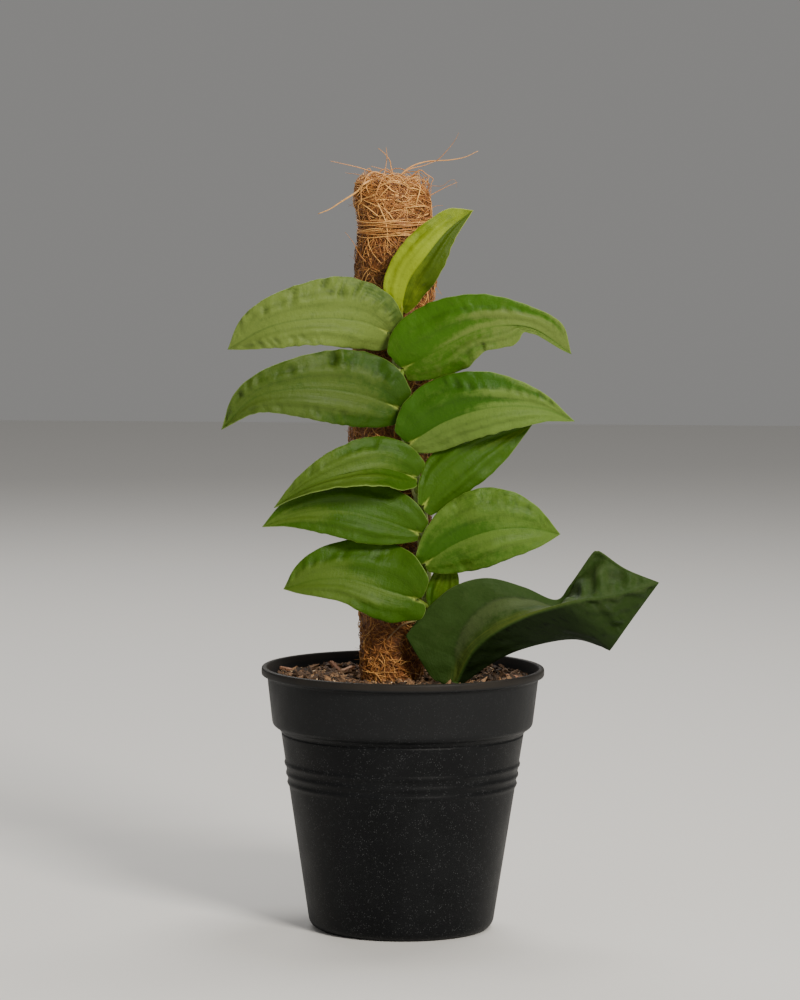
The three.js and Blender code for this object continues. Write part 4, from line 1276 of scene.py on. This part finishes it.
@dataclass
class Stem:
    """Vine that climbs the front of the pole, with short roots that clasp it."""

    radius: float = 2.6
    taper: float = 0.12
    swelling: float = 0.22
    ring_depth: float = 0.14
    path: tuple[Point, ...] = (
        (15.5, -9.5, 88), (15.2, -9, 106), (12.5, -8.5, 124), (9.8, -8.4, 141), (8.6, -9.8, 160),
        (7, -12.4, 180), (3.5, -15.2, 197), (0, -17, 215), (-2.8, -17, 235), (-3.2, -16.2, 249),
        (-2.4, -15.6, 257),
    )
    # Height where each root leaves the stem, degrees that it runs round the pole, and its drop
    roots: tuple[tuple[float, float, float], ...] = (
        (133, -58, 9), (173, 46, 7), (206, -44, 6), (228, 48, 8), (256, -46, 5), (150, 40, 5), (190, -40, 8),
    )

    def __post_init__(self) -> None:
        """Makes the centre line and a table of its heights."""
        self.line = Curve(self.path)
        self.shares = np.linspace(0, 1, 600)
        self.heights = self.line.at(self.shares)[:, 2]

    def at(self, z: float) -> Array:
        """Point of the centre line at a height."""
        return self.line.at(np.interp(z, self.heights, self.shares))

    def vine(self, shell: Shell, joints: list[float]) -> None:
        """Adds the stem: a tapered tube, swollen at each joint and ringed just under it.

        Args:
            shell: Where it goes.
            joints: Heights where leaves join.
        """
        share = np.linspace(0, 1, 260)
        line = self.line.at(share)
        near = np.minimum(sum(dip(line[:, 2] - joint, 2.2) for joint in joints), 1)
        ring = sum(dip(line[:, 2] - joint + 2.6, 0.5) for joint in joints)
        radius = self.radius * (1 - self.taper * share) + self.swelling * near - self.ring_depth * ring
        radius = radius * np.minimum(1, 3.2 * (1.0 - share) ** 0.5 + 0.25)
        shell.add_tubes(line[None], radius[None], 20, joint=near[None] * 0.8, woody=0.0)

    def root(self, shell: Shell, sleeve: Pole, z: float, turn: float, drop: float) -> None:
        """Adds a root: a thinning tube from the stem round the sleeve, closer to it with its length.

        Args:
            shell: Where it goes.
            sleeve: The pole that it clasps.
            z: Height where it leaves the stem.
            turn: Degrees that it runs round the pole.
            drop: How far its tip hangs under its start.
        """
        start = self.at(z)
        heading = math.atan2(start[1] - sleeve.y, start[0] - sleeve.x)
        part = np.array([0.45, 0.75, 1.0])
        height = z - drop * part**2
        out = sleeve.radius_at(height) + np.array([2.2, 1.5, 0.7])
        clasp = sleeve.about(heading + np.radians(turn) * part, out, height)
        share = np.linspace(0, 1, 24)
        path = Curve(np.vstack([start, clasp])).at(share)
        woody = smoothstep(share, 0.1, 0.5)
        shell.add_tubes(path[None], (0.6 - 0.38 * share)[None], 8, joint=0.0, woody=woody[None])

    def build(self, joints: list[float], sleeve: Pole) -> None:
        """Builds the stem and its roots as one piece.

        Args:
            joints: Heights where leaves join.
            sleeve: The pole that the roots clasp.
        """
        shell = Shell()
        self.vine(shell, joints)
        for z, turn, drop in self.roots:
            self.root(shell, sleeve, z, turn, drop)
        shell.build("vine_stem", StemFinish().material(), Slot.STEM, "stem")


@dataclass
class Half:
    """One half of a blade, from its midrib to one margin.

    Attributes:
        widths: Half-widths at the base and at the stations.
        lobe: How far the base reaches back.
        fold: Angle at the midrib towards the viewer, in degrees.
        curl: How far the half is bent back by the margin, in degrees.
        wave: Size, count and phase of the margin's waves.
        stations: Shares of the length where widths are given.
        pale: Share of the length where the painted sheen starts, at the midrib and at the margin.
        dull: Share where the painted sheen ends again, at the midrib and at the margin.
        level: How strong the painted sheen is outside and inside that stretch.
        flow: How far the painted sheen runs on along the folds, as a share of the length.
        wrinkle: Height of the cross wrinkles by the margin, the distance between them, and the shares
            of the length where they start and end.
        creases: Shares of the way to the margin where thin creases arch from base to tip.
    """

    widths: tuple[float, ...]
    lobe: float
    fold: float = 16.0
    curl: float = 40.0
    wave: tuple[float, float, float] = (0.6, 3.0, 0.0)
    stations: tuple[float, ...] = (0.12, 0.3, 0.5, 0.7, 0.86)
    pale: Pair = (0.5, 0.9)
    dull: Pair = (2.0, 2.0)
    level: Pair = (0.0, 1.0)
    flow: float = 0.07
    wrinkle: tuple[float, float, float, float] = (0.07, 4.0, 0.1, 0.9)
    creases: tuple[float, ...] = (0.34, 0.63)

    def outline(self, length: float) -> Curve:
        """Margin in the flat: the base lobe, the half-widths at the stations, and the tip.

        Args:
            length: Length of the midrib.

        Returns:
            The margin as distance along the midrib and out from it.
        """
        base, lobe = self.widths[0], self.lobe
        points = [(0, 0), (-0.8 * lobe, 0.12 * base), (-lobe, 0.45 * base), (-0.6 * lobe, 0.8 * base)]
        points += [(share * length, width) for share, width in zip(self.stations, self.widths[1:])]
        return Curve(points + [(length, 0)])

    def sheen(self, t: Array, v: Array, fold: Array) -> Array:
        """Strength of the painted sheen: between its start and its end, each a line across the half.

        Args:
            t: Share of the length.
            v: Share of the way to the margin.
            fold: Cosine of the long folds across the half.

        Returns:
            The strength, from level outside to level inside.
        """
        start = between(self.pale, v) - self.flow * fold * smoothstep(v, 0.05, 0.25)
        end = between(self.dull, v)
        inside = smoothstep(t - start, -0.2, 0.2) * smoothstep(end - t, -0.2, 0.2)
        return between(self.level, inside)


@dataclass
class Blade:
    """Closed leaf blade built from two halves, with its ribs and edges."""

    rows: int = 140
    columns: int = 18
    thickness: float = 0.55
    edge_round: float = 0.4
    keel: float = 0.45
    patterns: tuple[str, ...] = ("along", "across", "rib", "edge", "pale", "painted_shade", "ridge")

    def spread(self) -> Array:
        """Shares across a half, closer together by the midrib and towards the margin."""
        by_rib, by_margin = [0.0, 0.03, 0.06, 0.1], [0.985, 1.0]
        return np.concatenate([by_rib, np.linspace(0.15, 0.96, self.columns - 6), by_margin])

    def add(self, shell: Shell, upper: dict[str, Array], lower: dict[str, Array]) -> None:
        """Adds the blade as a loft of closed sections, front over the midrib and back again.

        The two faces stand half the thickness off the middle surface, along its normal. The
        thickness falls as a round edge near the margins, and a keel under the midrib is added to it.

        Args:
            shell: Where it goes.
            upper: Points and patterns of the upper half, as rows by columns.
            lower: The same of the lower half.
        """
        grid = {k: np.concatenate([upper[k][:, ::-1], lower[k][:, 1:]], axis=1) for k in upper}
        points = grid["points"]
        normal = unit(np.cross(np.gradient(points, axis=0), np.gradient(points, axis=1)))
        if normal[2:-2, 2:-2, 1].mean() > 0:
            normal = -normal
        points = points + normal * grid["lift"][..., None]
        edge = np.clip(grid["edge"] / self.edge_round, 0, 1)
        half = self.thickness / 2 * np.sqrt(1 - (1 - edge) ** 2)
        keel = self.keel * dip(grid["rib"], 0.9) * (1 - 0.75 * grid["along"])
        front = points + normal * half[..., None]
        back = points - normal * (half + keel)[..., None]
        rows, return_way = slice(1, -1), slice(-2, 0, -1)
        rings = np.concatenate([front[rows], back[rows, return_way]], axis=1)
        values = {}
        for name in self.patterns:
            values[name] = np.concatenate([grid[name][rows], grid[name][rows, return_way]], axis=1)
        width = points.shape[1]
        values["face"] = np.concatenate([np.ones(width), np.zeros(width - 2)])
        shell.add_loft(rings, points[0].mean(axis=0), points[-1].mean(axis=0), **values)


@dataclass
class Leaf:
    """Plain leaf: a flat outline bent along its midrib and across each half, with its stalk."""

    name: str
    joins: float
    midrib: tuple[Point, ...]
    upper: Half
    lower: Half
    finish: LeafFinish
    roll: float = 4.0
    slot: Slot = Slot.LEAF
    lumps: float = 0.14
    folds: float = 0.42
    fold_count: float = 1.9
    unevenness: float = 0.09
    groove: float = 0.28
    crease: float = 0.2
    blade: Blade = field(default_factory=Blade)
    base_roll: float = -14.0
    base_share: float = 0.4
    petiole_radius: float = 1.15

    def seed(self, side: Side) -> int:
        """Seed of a half's lumps and wrinkles, from the leaf's name."""
        return sum(map(ord, self.name)) + side.value

    def half(self, side: Side) -> dict[str, Array]:
        """Middle surface of one half and its patterns.

        A place is foot + (rim - foot) v along the midrib and rim v out from it. Out is wound on a
        circle, from the opening angle at the midrib back to the margin, and set off the midrib.

        Args:
            side: Which half.

        Returns:
            Points, their lift along the normal, and the blade's patterns, as rows by columns.
        """
        half = self.upper if side is Side.UPPER else self.lower
        sign = side.value
        midrib = Curve(self.midrib)
        length = midrib.length
        share = np.linspace(0, 1, self.blade.rows + 1)
        rim = half.outline(length).at(share)
        nibble = Ripple(self.seed(side) + 6 * sign, 6.5, 1).at(share * length)
        rim[:, 1] += self.unevenness * nibble * np.sin(np.pi * share)
        foot = length * share**1.5
        v = self.blade.spread()
        along = foot[:, None] + (rim[:, :1] - foot[:, None]) * v
        out = np.maximum(rim[:, 1:], 0) * v
        t = np.clip(along / length, 0, 1)
        settled = np.minimum(t / self.base_share, 1)
        roll = self.roll + (self.base_roll - self.roll) * (1 - settled) ** 2
        widest = max(half.widths)
        bend = math.radians(half.curl)
        opened = np.radians(half.fold - sign * roll)
        angle = opened - bend * out / widest
        across = widest / bend * (np.sin(opened) - np.sin(angle))
        size, count, phase = half.wave
        wave = size * (out / widest) ** 2 * np.sin(FULL_TURN * count * t + phase)
        raised = widest / bend * (np.cos(angle) - np.cos(opened)) + wave
        tangent = midrib.tangent(t)
        normal = unit(np.array([0.0, -1.0, 0.0]) + tangent * tangent[..., 1:2])
        way = -1 if self.midrib[-1][0] > self.midrib[0][0] else 1
        up = np.cross(tangent, normal) * way
        points = midrib.at(t) + tangent * np.minimum(along, 0)[..., None]
        points = points + up * (sign * across)[..., None] + normal * raised[..., None]
        reach = np.linalg.norm(rim - np.stack([foot, np.zeros_like(foot)], axis=-1), axis=-1)
        edge = reach[:, None] * (1 - v)
        lift, painted_shade = self.fine_relief(side, t, v, out, edge, length)
        return {
            "points": points, "along": t, "across": np.broadcast_to(sign * v, t.shape), "rib": out,
            "edge": edge, "lift": lift, "painted_shade": painted_shade, "pale": half.sheen(t, v, self.fold_wave(v)),
            "ridge": np.zeros_like(t),
        }

    def fold_wave(self, v: Array) -> Array:
        """Long folds across a half: a cosine of the share of the way to the margin."""
        return np.cos(FULL_TURN * self.fold_count * v + 0.5)

    def fine_relief(self, side: Side, t: Array, v: Array, out: Array, edge: Array,
                    length: float) -> tuple[Array, Array]:
        """Fine height off the middle surface.

        It is long folds that arch from base to tip, a groove along the midrib, broad lumps, and
        wrinkles across the outer part that are drawn out towards the margin.

        Args:
            side: Which half.
            t: Share of the length.
            v: Share of the way to the margin.
            out: Distance from the midrib.
            edge: Distance from the margin.
            length: Length of the midrib.

        Returns:
            The height, and the painted shade: how deep the wrinkles are, from 0 to 1, with more along the
                creases.
        """
        half = self.upper if side is Side.UPPER else self.lower
        seed = self.seed(side)
        arch = np.sin(np.pi * np.clip(t * 1.06 + 0.04, 0, 1)) * smoothstep(edge, 0.0, 2.5)
        lift = self.folds * self.fold_wave(v) * arch - self.groove * dip(out, 0.8) * (1 - 0.6 * t)
        lift = lift + self.lumps * Ripple(seed, 11.0, 2).at(t * length, out) * smoothstep(out, 1.0, 7.0)
        height, period, first, last = half.wrinkle
        zone = smoothstep(t, first - 0.06, first + 0.06) * (1 - smoothstep(t, last - 0.06, last + 0.06))
        patches = smoothstep(Ripple(seed + 80, 16.0, 2).at(t * length, out), -0.9, 0.7)
        waves = Ripple(seed + 50, period, 2, 24).at(t * length + out * 0.5, out * 0.45)
        zone = zone * smoothstep(v, 0.35, 0.7) * (0.25 + 0.75 * patches)
        wrinkles = height * waves * zone * (1 - 0.5 * smoothstep(v, 0.85, 1.0))
        # Painted shade in the wrinkles' hollows, with more laid along the creases in the return below
        painted_shade = smoothstep(-waves, 0.1, 1.6) * zone * min(1.0, height / 0.5)
        wander = 0.04 * np.sin(7 * t + seed)
        lines = sum(dip((v - crease + wander) * max(half.widths), 0.75) for crease in half.creases) * arch
        return lift + wrinkles - self.crease * lines, painted_shade + 2 * self.crease * lines

    def stalk(self, stem: Stem) -> Array:
        """Route of the stalk from inside the blade's base to the stem, into its end for the young leaf.

        Args:
            stem: The stem that it joins.

        Returns:
            Points of the route.
        """
        first, second = np.array(self.midrib[0]), np.array(self.midrib[1])
        join = stem.at(self.joins)
        in_blade = first + (second - first) * 0.14 + (0, 0.5, 0)
        if self.slot is Slot.YOUNG:
            return np.array([in_blade, first + (0, 0.3, -1), join + (0, -0.4, 2.4), join + (0, 0, -0.4)])
        end = join + (0, 0.5 - stem.radius, 0)
        return np.array([in_blade, first + (0, 1.7, -0.4), end + (0, -2.6, 0.4), end])

    def build(self, stem: Stem) -> None:
        """Builds the blade and its stalk as one piece.

        Args:
            stem: The stem that the stalk joins.
        """
        shell = Shell()
        self.blade.add(shell, self.half(Side.UPPER), self.half(Side.LOWER))
        share = np.linspace(0, 1, 24)
        radius = self.petiole_radius * (1.0 + 0.25 * smoothstep(share, 0.6, 1.0) - 0.35 * (1 - share) ** 3)
        path = Curve(self.stalk(stem)).at(share)
        shell.add_tubes(path[None], radius[None], 12, along=0.0, rib=0.9, edge=4.0, face=1.0)
        shell.build(self.name + "_blade", self.finish.material(), self.slot, self.name)


@dataclass
class TwistedLeaf:
    """Large old leaf at the soil: each half is stretched from the midrib to its own margin curve."""

    name: str = "leaf_big_dark"
    midrib: tuple[Point, ...] = (
        (21.5, -17, 105.2), (30, -23.5, 122.5), (46.5, -30, 135), (67.5, -31, 142.5), (87, -28, 145.5),
        (107, -22, 150.5),
    )
    upper: tuple[Point, ...] = (
        (19.5, -16.5, 105.4), (12.5, -15.5, 108.5), (6.6, -16.2, 117.2), (1.9, -16.9, 125), (1.2, -17, 126.6),
        (2.2, -17.3, 128.4), (10, -19, 138.5), (21, -20, 148), (35, -18, 151.5), (50.5, -15, 147.5),
        (64, -13, 142), (70, -14, 148.5), (78.6, -17.4, 161.6), (81, -18, 163.2), (83.6, -18.3, 162.3),
        (93, -20, 156), (107, -22, 150.5),
    )
    lower: tuple[Point, ...] = (
        (23.5, -17.5, 105.4), (29, -19, 109.5), (37, -21, 115.5), (47, -23, 121), (60.5, -23, 125),
        (73, -21, 126.2), (83, -19.6, 123.2), (86.3, -19.1, 121.6), (87.6, -19, 122.2), (94, -19, 131.5),
        (101.2, -20, 142), (107, -22, 150.5),
    )
    petiole: tuple[Point, ...] = ((22.4, -17.6, 107.5), (21.3, -16.6, 103), (20.3, -15, 96), (19.5, -14, 89))
    petiole_radius: float = 1.75
    sag: float = 4.8
    blade: Blade = field(default_factory=lambda: Blade(rows=220, columns=26, thickness=0.6))
    # Old leaf: its sheen colour is a painted sheen, and dark the near black of the painted shade over its
    # lower half
    finish: LeafFinish = LeafFinish(
        "old leaf", (0.023, 0.049, 0.008), (0.052, 0.076, 0.024), base=(0.07, 0.11, 0.02),
        rim=(0.07, 0.10, 0.03), back=(0.03, 0.055, 0.014), fibre=(0.055, 0.078, 0.012),
        dark=(0.001, 0.002, 0.0006), roughness=0.55, specular=0.09, seed=9.0,
    )

    def half(self, side: Side) -> dict[str, Array]:
        """Middle surface of one half and its patterns.

        A place is foot + chord v, with the chord from the midrib to the margin at shares of their
        lengths, set back along the normal. The upper half hangs to a crease line and rises again to
        the margin, and the lower half is bowed by a sine.

        Args:
            side: Which half.

        Returns:
            Points, their lift along the normal, and the blade's patterns, as rows by columns.
        """
        midrib = Curve(self.midrib)
        margin = Curve(self.upper if side is Side.UPPER else self.lower)
        share = np.linspace(0, 1, self.blade.rows + 1)
        by_rib = share**1.3
        foot = midrib.at(by_rib)
        chord = margin.at(share) - foot
        normal = unit(np.cross(chord, midrib.tangent(by_rib))) * side.value
        size = np.linalg.norm(chord, axis=-1)
        v = self.blade.spread()
        crease = np.clip(0.1 + 1.5 * (share - 0.12), 0.08, 0.9)[:, None]
        if side is Side.UPPER:
            fall = np.where(v < crease, v / crease, (1 - v) / (1 - crease))
            depth = self.sag * (smoothstep(fall, -0.25, 1.25) - smoothstep(np.zeros(1), -0.25, 1.25))
        else:
            depth = -np.sin(np.pi * v)[None]
        depth = depth * (np.sin(np.pi * share) * size / 20)[:, None]
        points = foot[:, None] + chord[:, None] * v[None, :, None] + normal[:, None] * depth[..., None]
        out, edge = size[:, None] * v, size[:, None] * (1 - v)
        t = np.broadcast_to(share[:, None], out.shape)
        settle = smoothstep(edge, 0, 3) * smoothstep(out, 0, 4)
        tip = smoothstep(t, 0.62, 0.78)
        run = t * midrib.length
        lumps = 0.2 * Ripple(77 + side.value, 11.0, 2).at(run, out) * settle
        lumps += 0.85 * tip * Ripple(87 + side.value, 7.5, 2).at(run, out * 0.6) * settle
        # Upper half: a painted sheen between the midrib and the crease and on the tip, painted shade in the
        # crease and the tip's hollows
        if side is Side.UPPER:
            middle = smoothstep(t, 0.12, 0.22) * (1 - tip)
            inner = (1 - smoothstep(v - crease, -0.04, 0.04)) * smoothstep(v / crease, 0.0, 0.9)
            pale = np.maximum(middle * inner, tip * 0.3)
            ridge = smoothstep(t, 0.0, 0.1) * (1 - smoothstep(t, 0.6, 0.8)) * (1 - smoothstep(out, 1.5, 5.0))
            painted_shade = 0.6 * dip(v - crease, 0.03) * middle + 0.5 * tip * smoothstep(-lumps, 0.1, 1.0)
        else:
            # Lower half: painted shade over it where it hangs, less towards the tip, and a little painted
            # sheen at the tip
            pale = tip * (1 - smoothstep(v, 0.15, 0.6)) * 0.4
            ridge = np.zeros_like(t)
            painted_shade = (1.6 - 1.0 * tip) * smoothstep(out, 0.4, 1.6)
        return {
            "points": points, "along": t, "across": np.broadcast_to(side.value * v, t.shape), "rib": out,
            "edge": edge, "lift": lumps, "pale": pale, "ridge": ridge, "painted_shade": painted_shade,
        }

    def build(self) -> None:
        """Builds the blade and its stalk as one piece."""
        shell = Shell()
        self.blade.add(shell, self.half(Side.UPPER), self.half(Side.LOWER))
        path = Curve(self.petiole).at(np.linspace(0, 1, 30))
        radius = np.full((1, 30), self.petiole_radius)
        shell.add_tubes(path[None], radius, 16, along=0.0, rib=1.2, edge=4.0, face=1.0)
        shell.build(self.name + "_blade", self.finish.material(), Slot.DARK, self.name)


# Leaf finishes: the leaf's own greens, and partly painted light, each copy lighter or darker by how brightly
# its leaves are lit, each sheen colour a painted sheen
OLIVE = LeafFinish("olive leaf", (0.042, 0.085, 0.010), (0.122, 0.178, 0.031), seed=1.0)
GREY_GREEN = LeafFinish("grey green leaf", (0.024, 0.066, 0.002), (0.060, 0.100, 0.011), seed=2.0)
DEEP = LeafFinish("deep green leaf", (0.027, 0.088, 0.001), (0.106, 0.176, 0.027), seed=3.0)
FRESH = LeafFinish("fresh green leaf", (0.038, 0.112, 0.001), (0.115, 0.170, 0.030), seed=7.0)
MIDDLE = LeafFinish("middle green leaf", (0.032, 0.085, 0.001), (0.070, 0.125, 0.012), seed=4.0)
BRIGHT = LeafFinish("bright leaf", (0.034, 0.090, 0.001), (0.066, 0.128, 0.003), seed=5.0)
SUNNY = LeafFinish("sunny leaf", (0.029, 0.090, 0.001), (0.082, 0.150, 0.017), seed=8.0)
YOUNG = LeafFinish(
    "young leaf", (0.048, 0.086, 0.001), (0.225, 0.300, 0.010), base=(0.50, 0.55, 0.06),
    rim=(0.40, 0.46, 0.08), blotch=0.16, mottle=0.07, seed=6.0,
)
# A margin's low wave, and starts of a painted sheen that is nowhere or everywhere
LOW_WAVE = (0.5, 2.5, 1.0)
PLAIN = (2.0, 2.0)
SHINING = (-1.0, -1.0)

# Each leaf: name, height where it joins the stem, midrib, upper half, lower half and finish
LEAVES = [
    Leaf("leaf_left_1", 248,
         ((-7.5, -19, 254.5), (-18.5, -24, 259), (-36, -29, 260.5), (-56, -30, 257), (-74, -25, 247)),
         Half((12, 15.5, 18, 15.2, 11.6, 7.3), 3.4, wave=(0.8, 3, 0), pale=(-0.3, 0.3), level=(0.3, 0.95),
              wrinkle=(0.5, 3.3, 0.0, 1.0)),
         Half((10.5, 12, 12, 11, 9.8, 5.5), 3, wave=(0.6, 2.5, 1), pale=SHINING,
              wrinkle=(0.3, 4.0, 0.4, 1.0)),
         OLIVE),
    Leaf("leaf_left_2", 217,
         ((-3, -20.5, 223), (-19, -26, 229), (-41.5, -31, 231.5), (-62, -31, 227.5), (-76.5, -25, 213.5)),
         Half((12.4, 16.5, 17.8, 13.8, 9.2, 5.2), 2.0, wave=(1.2, 4, 0), pale=(0.05, 0.35), level=(0.0, 0.8),
              wrinkle=(0.72, 4.4, 0.08, 1.0)),
         Half((10, 13.5, 14.5, 12.6, 8.2, 3.8), 2, wave=(0.6, 2.5, 1), pale=(-0.1, 0.45),
              wrinkle=(0.25, 4.5, 0.1, 1.0)),
         GREY_GREEN),
    Leaf("leaf_left_3", 188,
         ((4, -21, 194), (-9, -27, 198), (-24.5, -31, 196), (-39, -31, 191), (-54.5, -25, 181)),
         Half((10, 12.2, 13.8, 11.3, 6.8, 3.3), 2.2, fold=10, pale=(0.1, 0.5), wrinkle=(0.3, 3.6, 0.2, 1.0)),
         Half((6, 10, 12, 9, 5.6, 2), 1, fold=58, curl=10, wave=LOW_WAVE, pale=(0.3, 0.3)),
         MIDDLE),
    Leaf("leaf_left_4", 164,
         ((6, -21.5, 170.5), (-6.5, -24, 175.5), (-24.5, -25.5, 180), (-42, -24, 179), (-59.5, -20, 172.5)),
         Half((9, 12.5, 15, 14, 10, 5.5), 1.8, fold=12, pale=(0.6, 1.2)),
         Half((4.5, 8.5, 12, 11.5, 8.2, 3.5), 0.6, wave=LOW_WAVE, pale=(0.4, 1.0)),
         MIDDLE, roll=12),
    Leaf("leaf_left_5", 138,
         ((5, -23, 143), (-8, -23.5, 147), (-22.5, -23, 151), (-36.5, -21.5, 150.5), (-50.5, -17, 146)),
         Half((14.5, 18, 20, 17.5, 13, 7.5), 3, fold=14, pale=(0.3, 1.0), wrinkle=(0.25, 3.8, 0.3, 1.0)),
         Half((11.2, 13, 12.8, 10.5, 8, 4.7), 5.6, wave=LOW_WAVE, pale=(0.0, 0.5)),
         MIDDLE, roll=12),
    Leaf("leaf_top", 257,
         ((-2, -17.6, 263.5), (1, -21.5, 275.5), (8, -25, 286), (17, -23, 297), (28, -18, 305.5)),
         Half((6, 8.8, 10.8, 11, 8.7, 6.2), 0.5, wave=(0.4, 3, 0), pale=SHINING, dull=(0.75, 0.5),
              level=(0.55, 1.0)),
         Half((4, 7.6, 10, 8.8, 5.5, 2.7), 0.5, wave=(0.4, 2.5, 1), pale=SHINING, dull=(0.55, 0.1),
              level=(-0.1, 0.25)),
         YOUNG, roll=0, slot=Slot.YOUNG),
    Leaf("leaf_right_1", 233,
         ((-0.5, -20, 239.5), (11.5, -26, 246.5), (31, -31, 256.5), (51.5, -31, 257.5), (69.3, -24, 246)),
         Half((14, 18.3, 19, 14.6, 8.8, 7.6), 1.2, pale=(0.28, 0.85), level=(0.0, 1.15), flow=0.15,
              wrinkle=(0.3, 3.2, 0.15, 0.9)),
         Half((7.5, 10.5, 13.0, 10.9, 9.4, 9.5, 8.5, 6.4, 2.9, 2.3, 1.8, 1.2), 1, wave=(1.0, 2.5, 1),
              stations=(0.12, 0.3, 0.39, 0.47, 0.56, 0.64, 0.675, 0.695, 0.74, 0.83, 0.92),
              pale=(0.45, 0.35), level=(0.25, 0.8), wrinkle=(0.25, 3.2, 0.22, 0.5)),
         FRESH, roll=0),
    Leaf("leaf_right_2", 202,
         ((2.5, -21, 208.5), (17, -27, 218), (35.5, -31, 224), (56, -30, 224), (71, -24, 218)),
         Half((12, 16, 18.2, 15.5, 9.3, 3.5), 1.8, wave=(0.5, 3, 0), pale=(0.4, 0.72), flow=0.15,
              wrinkle=(0.34, 3.0, 0.25, 0.95)),
         Half((6.5, 10.7, 11.8, 11.3, 8.5, 4.2), 1.5, wave=LOW_WAVE, pale=SHINING),
         DEEP, roll=0),
    Leaf("leaf_right_3", 176,
         ((8.5, -22, 182.5), (15.5, -22.5, 193), (26.5, -21.5, 203), (40, -19, 210.5), (53.5, -16, 216)),
         Half((4, 7.2, 11, 10, 7, 3.8), 1, fold=10, wave=(0.5, 3, 0), pale=PLAIN),
         Half((7, 10, 12, 12.5, 9.7, 5), 2.5, fold=10, wave=LOW_WAVE, pale=(0.6, 1.2)),
         BRIGHT, roll=10),
    Leaf("leaf_right_4", 151,
         ((9.5, -21, 158), (21, -25, 166.5), (36, -28.5, 172.5), (51.5, -27, 173.5), (65.5, -22, 170.5)),
         Half((7, 11, 16.5, 18.6, 14, 6.3), 2.5, fold=14, wave=(0.6, 5, 0), pale=(0.6, -0.1),
              level=(0.0, 0.75), wrinkle=(0.28, 2.6, 0.3, 0.9)),
         Half((6, 11.5, 14.8, 14.8, 12, 7.5), 1.5, fold=14, wave=LOW_WAVE, pale=(0.1, 0.9),
              level=(0.4, 0.95)),
         SUNNY, roll=0),
    Leaf("leaf_small_low", 133,
         ((14, -14, 137), (16, -15, 143), (17.5, -15.5, 149), (18.5, -15, 155), (19.5, -14, 160)),
         Half((3, 5.5, 7, 6.8, 5.2, 2.8), 0.5, fold=14, wave=(0, 3, 0), pale=(0.1, 0.6)),
         Half((3, 5.2, 6.4, 6.2, 4.8, 2.6), 0.5, fold=14, wave=(0, 3, 0), pale=(0.1, 0.6)),
         BRIGHT, roll=0),
]


@dataclass(frozen=True)
class Lamp:
    """Square soft light: place and size in metres, power in watts, and colour."""

    name: str
    place: Point
    size: float
    power: float
    colour: Colour = (1.0, 0.98, 0.95)


@dataclass
class Studio:
    """Pale floor, soft lights and the camera at the photograph's angle."""

    camera_place: Point = (-1.75, -1896.0, 351.0)
    pitch: float = 5.08
    roll: float = 0.41
    lens: float = 162.0
    sensor: float = 36.0
    floor_size: float = 6.0
    floor_colour: Colour = (0.74, 0.73, 0.71)
    sky: float = 0.24
    sky_colour: Colour = (1.0, 0.985, 0.96)
    plant_middle: Point = (0.0, 0.0, 0.18)
    lamps: tuple[Lamp, ...] = (
        Lamp("key", (0.7, -1.25, 1.0), 0.42, 34.0, (1.0, 0.95, 0.86)),
        Lamp("fill", (-1.2, -1.3, 0.6), 0.9, 1.9),
        Lamp("back", (-0.4, 1.3, 1.2), 0.9, 8.0),
        Lamp("top", (0.35, 0.45, 1.5), 0.6, 12.0, (1.0, 0.97, 0.92)),
    )

    def floor(self) -> None:
        """Lays the floor: a plain pale plane that isn't part of the object."""
        half = self.floor_size / 2
        mesh = bpy.data.meshes.new("floor")
        corners = [(-half, -half, 0), (half, -half, 0), (half, half, 0), (-half, half, 0)]
        mesh.from_pydata(corners, [], [(0, 1, 2, 3)])
        shader = Shader("studio floor", Roughness=0.8)
        shader.output("Base Color", self.floor_colour)
        mesh.materials.append(shader.material)
        floor = bpy.data.objects.new("floor", mesh)
        bpy.context.scene.collection.objects.link(floor)

    def light(self, lamp: Lamp) -> None:
        """Hangs a light that faces the middle of the plant.

        Args:
            lamp: What the light is like.
        """
        light = bpy.data.lights.new(lamp.name, "AREA")
        light.size = lamp.size
        light.energy = lamp.power
        light.color = lamp.colour
        hung = bpy.data.objects.new(lamp.name, light)
        hung.location = lamp.place
        aim = Vector(self.plant_middle) - Vector(lamp.place)
        hung.rotation_euler = aim.to_track_quat("-Z", "Y").to_euler()
        bpy.context.scene.collection.objects.link(hung)

    def room(self) -> None:
        """Sets the room's even light."""
        world = bpy.data.worlds.new("studio")
        world.use_nodes = True
        background = world.node_tree.nodes["Background"].inputs
        background["Color"].default_value = (*self.sky_colour, 1.0)
        background["Strength"].default_value = self.sky
        bpy.context.scene.world = world

    def camera(self) -> None:
        """Places the camera: it looks along +Y, pitched down, its right side raised by roll."""
        data = bpy.data.cameras.new("camera")
        data.lens = self.lens
        data.sensor_width = self.sensor
        data.clip_start, data.clip_end = 0.1, 30.0
        camera = bpy.data.objects.new("camera", data)
        down, turn = math.radians(self.pitch), math.radians(self.roll)
        right = Vector((1, 0, 0))
        forward = Vector((0, math.cos(down), -math.sin(down)))
        up = right.cross(forward)
        across = right * math.cos(turn) + up * math.sin(turn)
        above = up * math.cos(turn) - right * math.sin(turn)
        turned = Matrix((across, above, -forward)).transposed().to_4x4()
        camera.matrix_world = Matrix.Translation(Vector(self.camera_place) * MM) @ turned
        bpy.context.scene.collection.objects.link(camera)
        bpy.context.scene.camera = camera

    def build(self) -> None:
        """Sets up the camera, the floor and the lights."""
        self.camera()
        self.floor()
        for lamp in self.lamps:
            self.light(lamp)
        self.room()


def main() -> None:
    """Builds every sub-assembly in order."""
    logging.basicConfig(level=logging.INFO, format="%(message)s")
    Studio().build()
    Pot().build()
    PottingMix().build()
    pole = Pole()
    pole.build()
    stem = Stem()
    stem.build([leaf.joins for leaf in LEAVES], pole)
    for leaf in LEAVES:
        leaf.build(stem)
    TwistedLeaf().build()


if __name__ == "__main__":
    main()
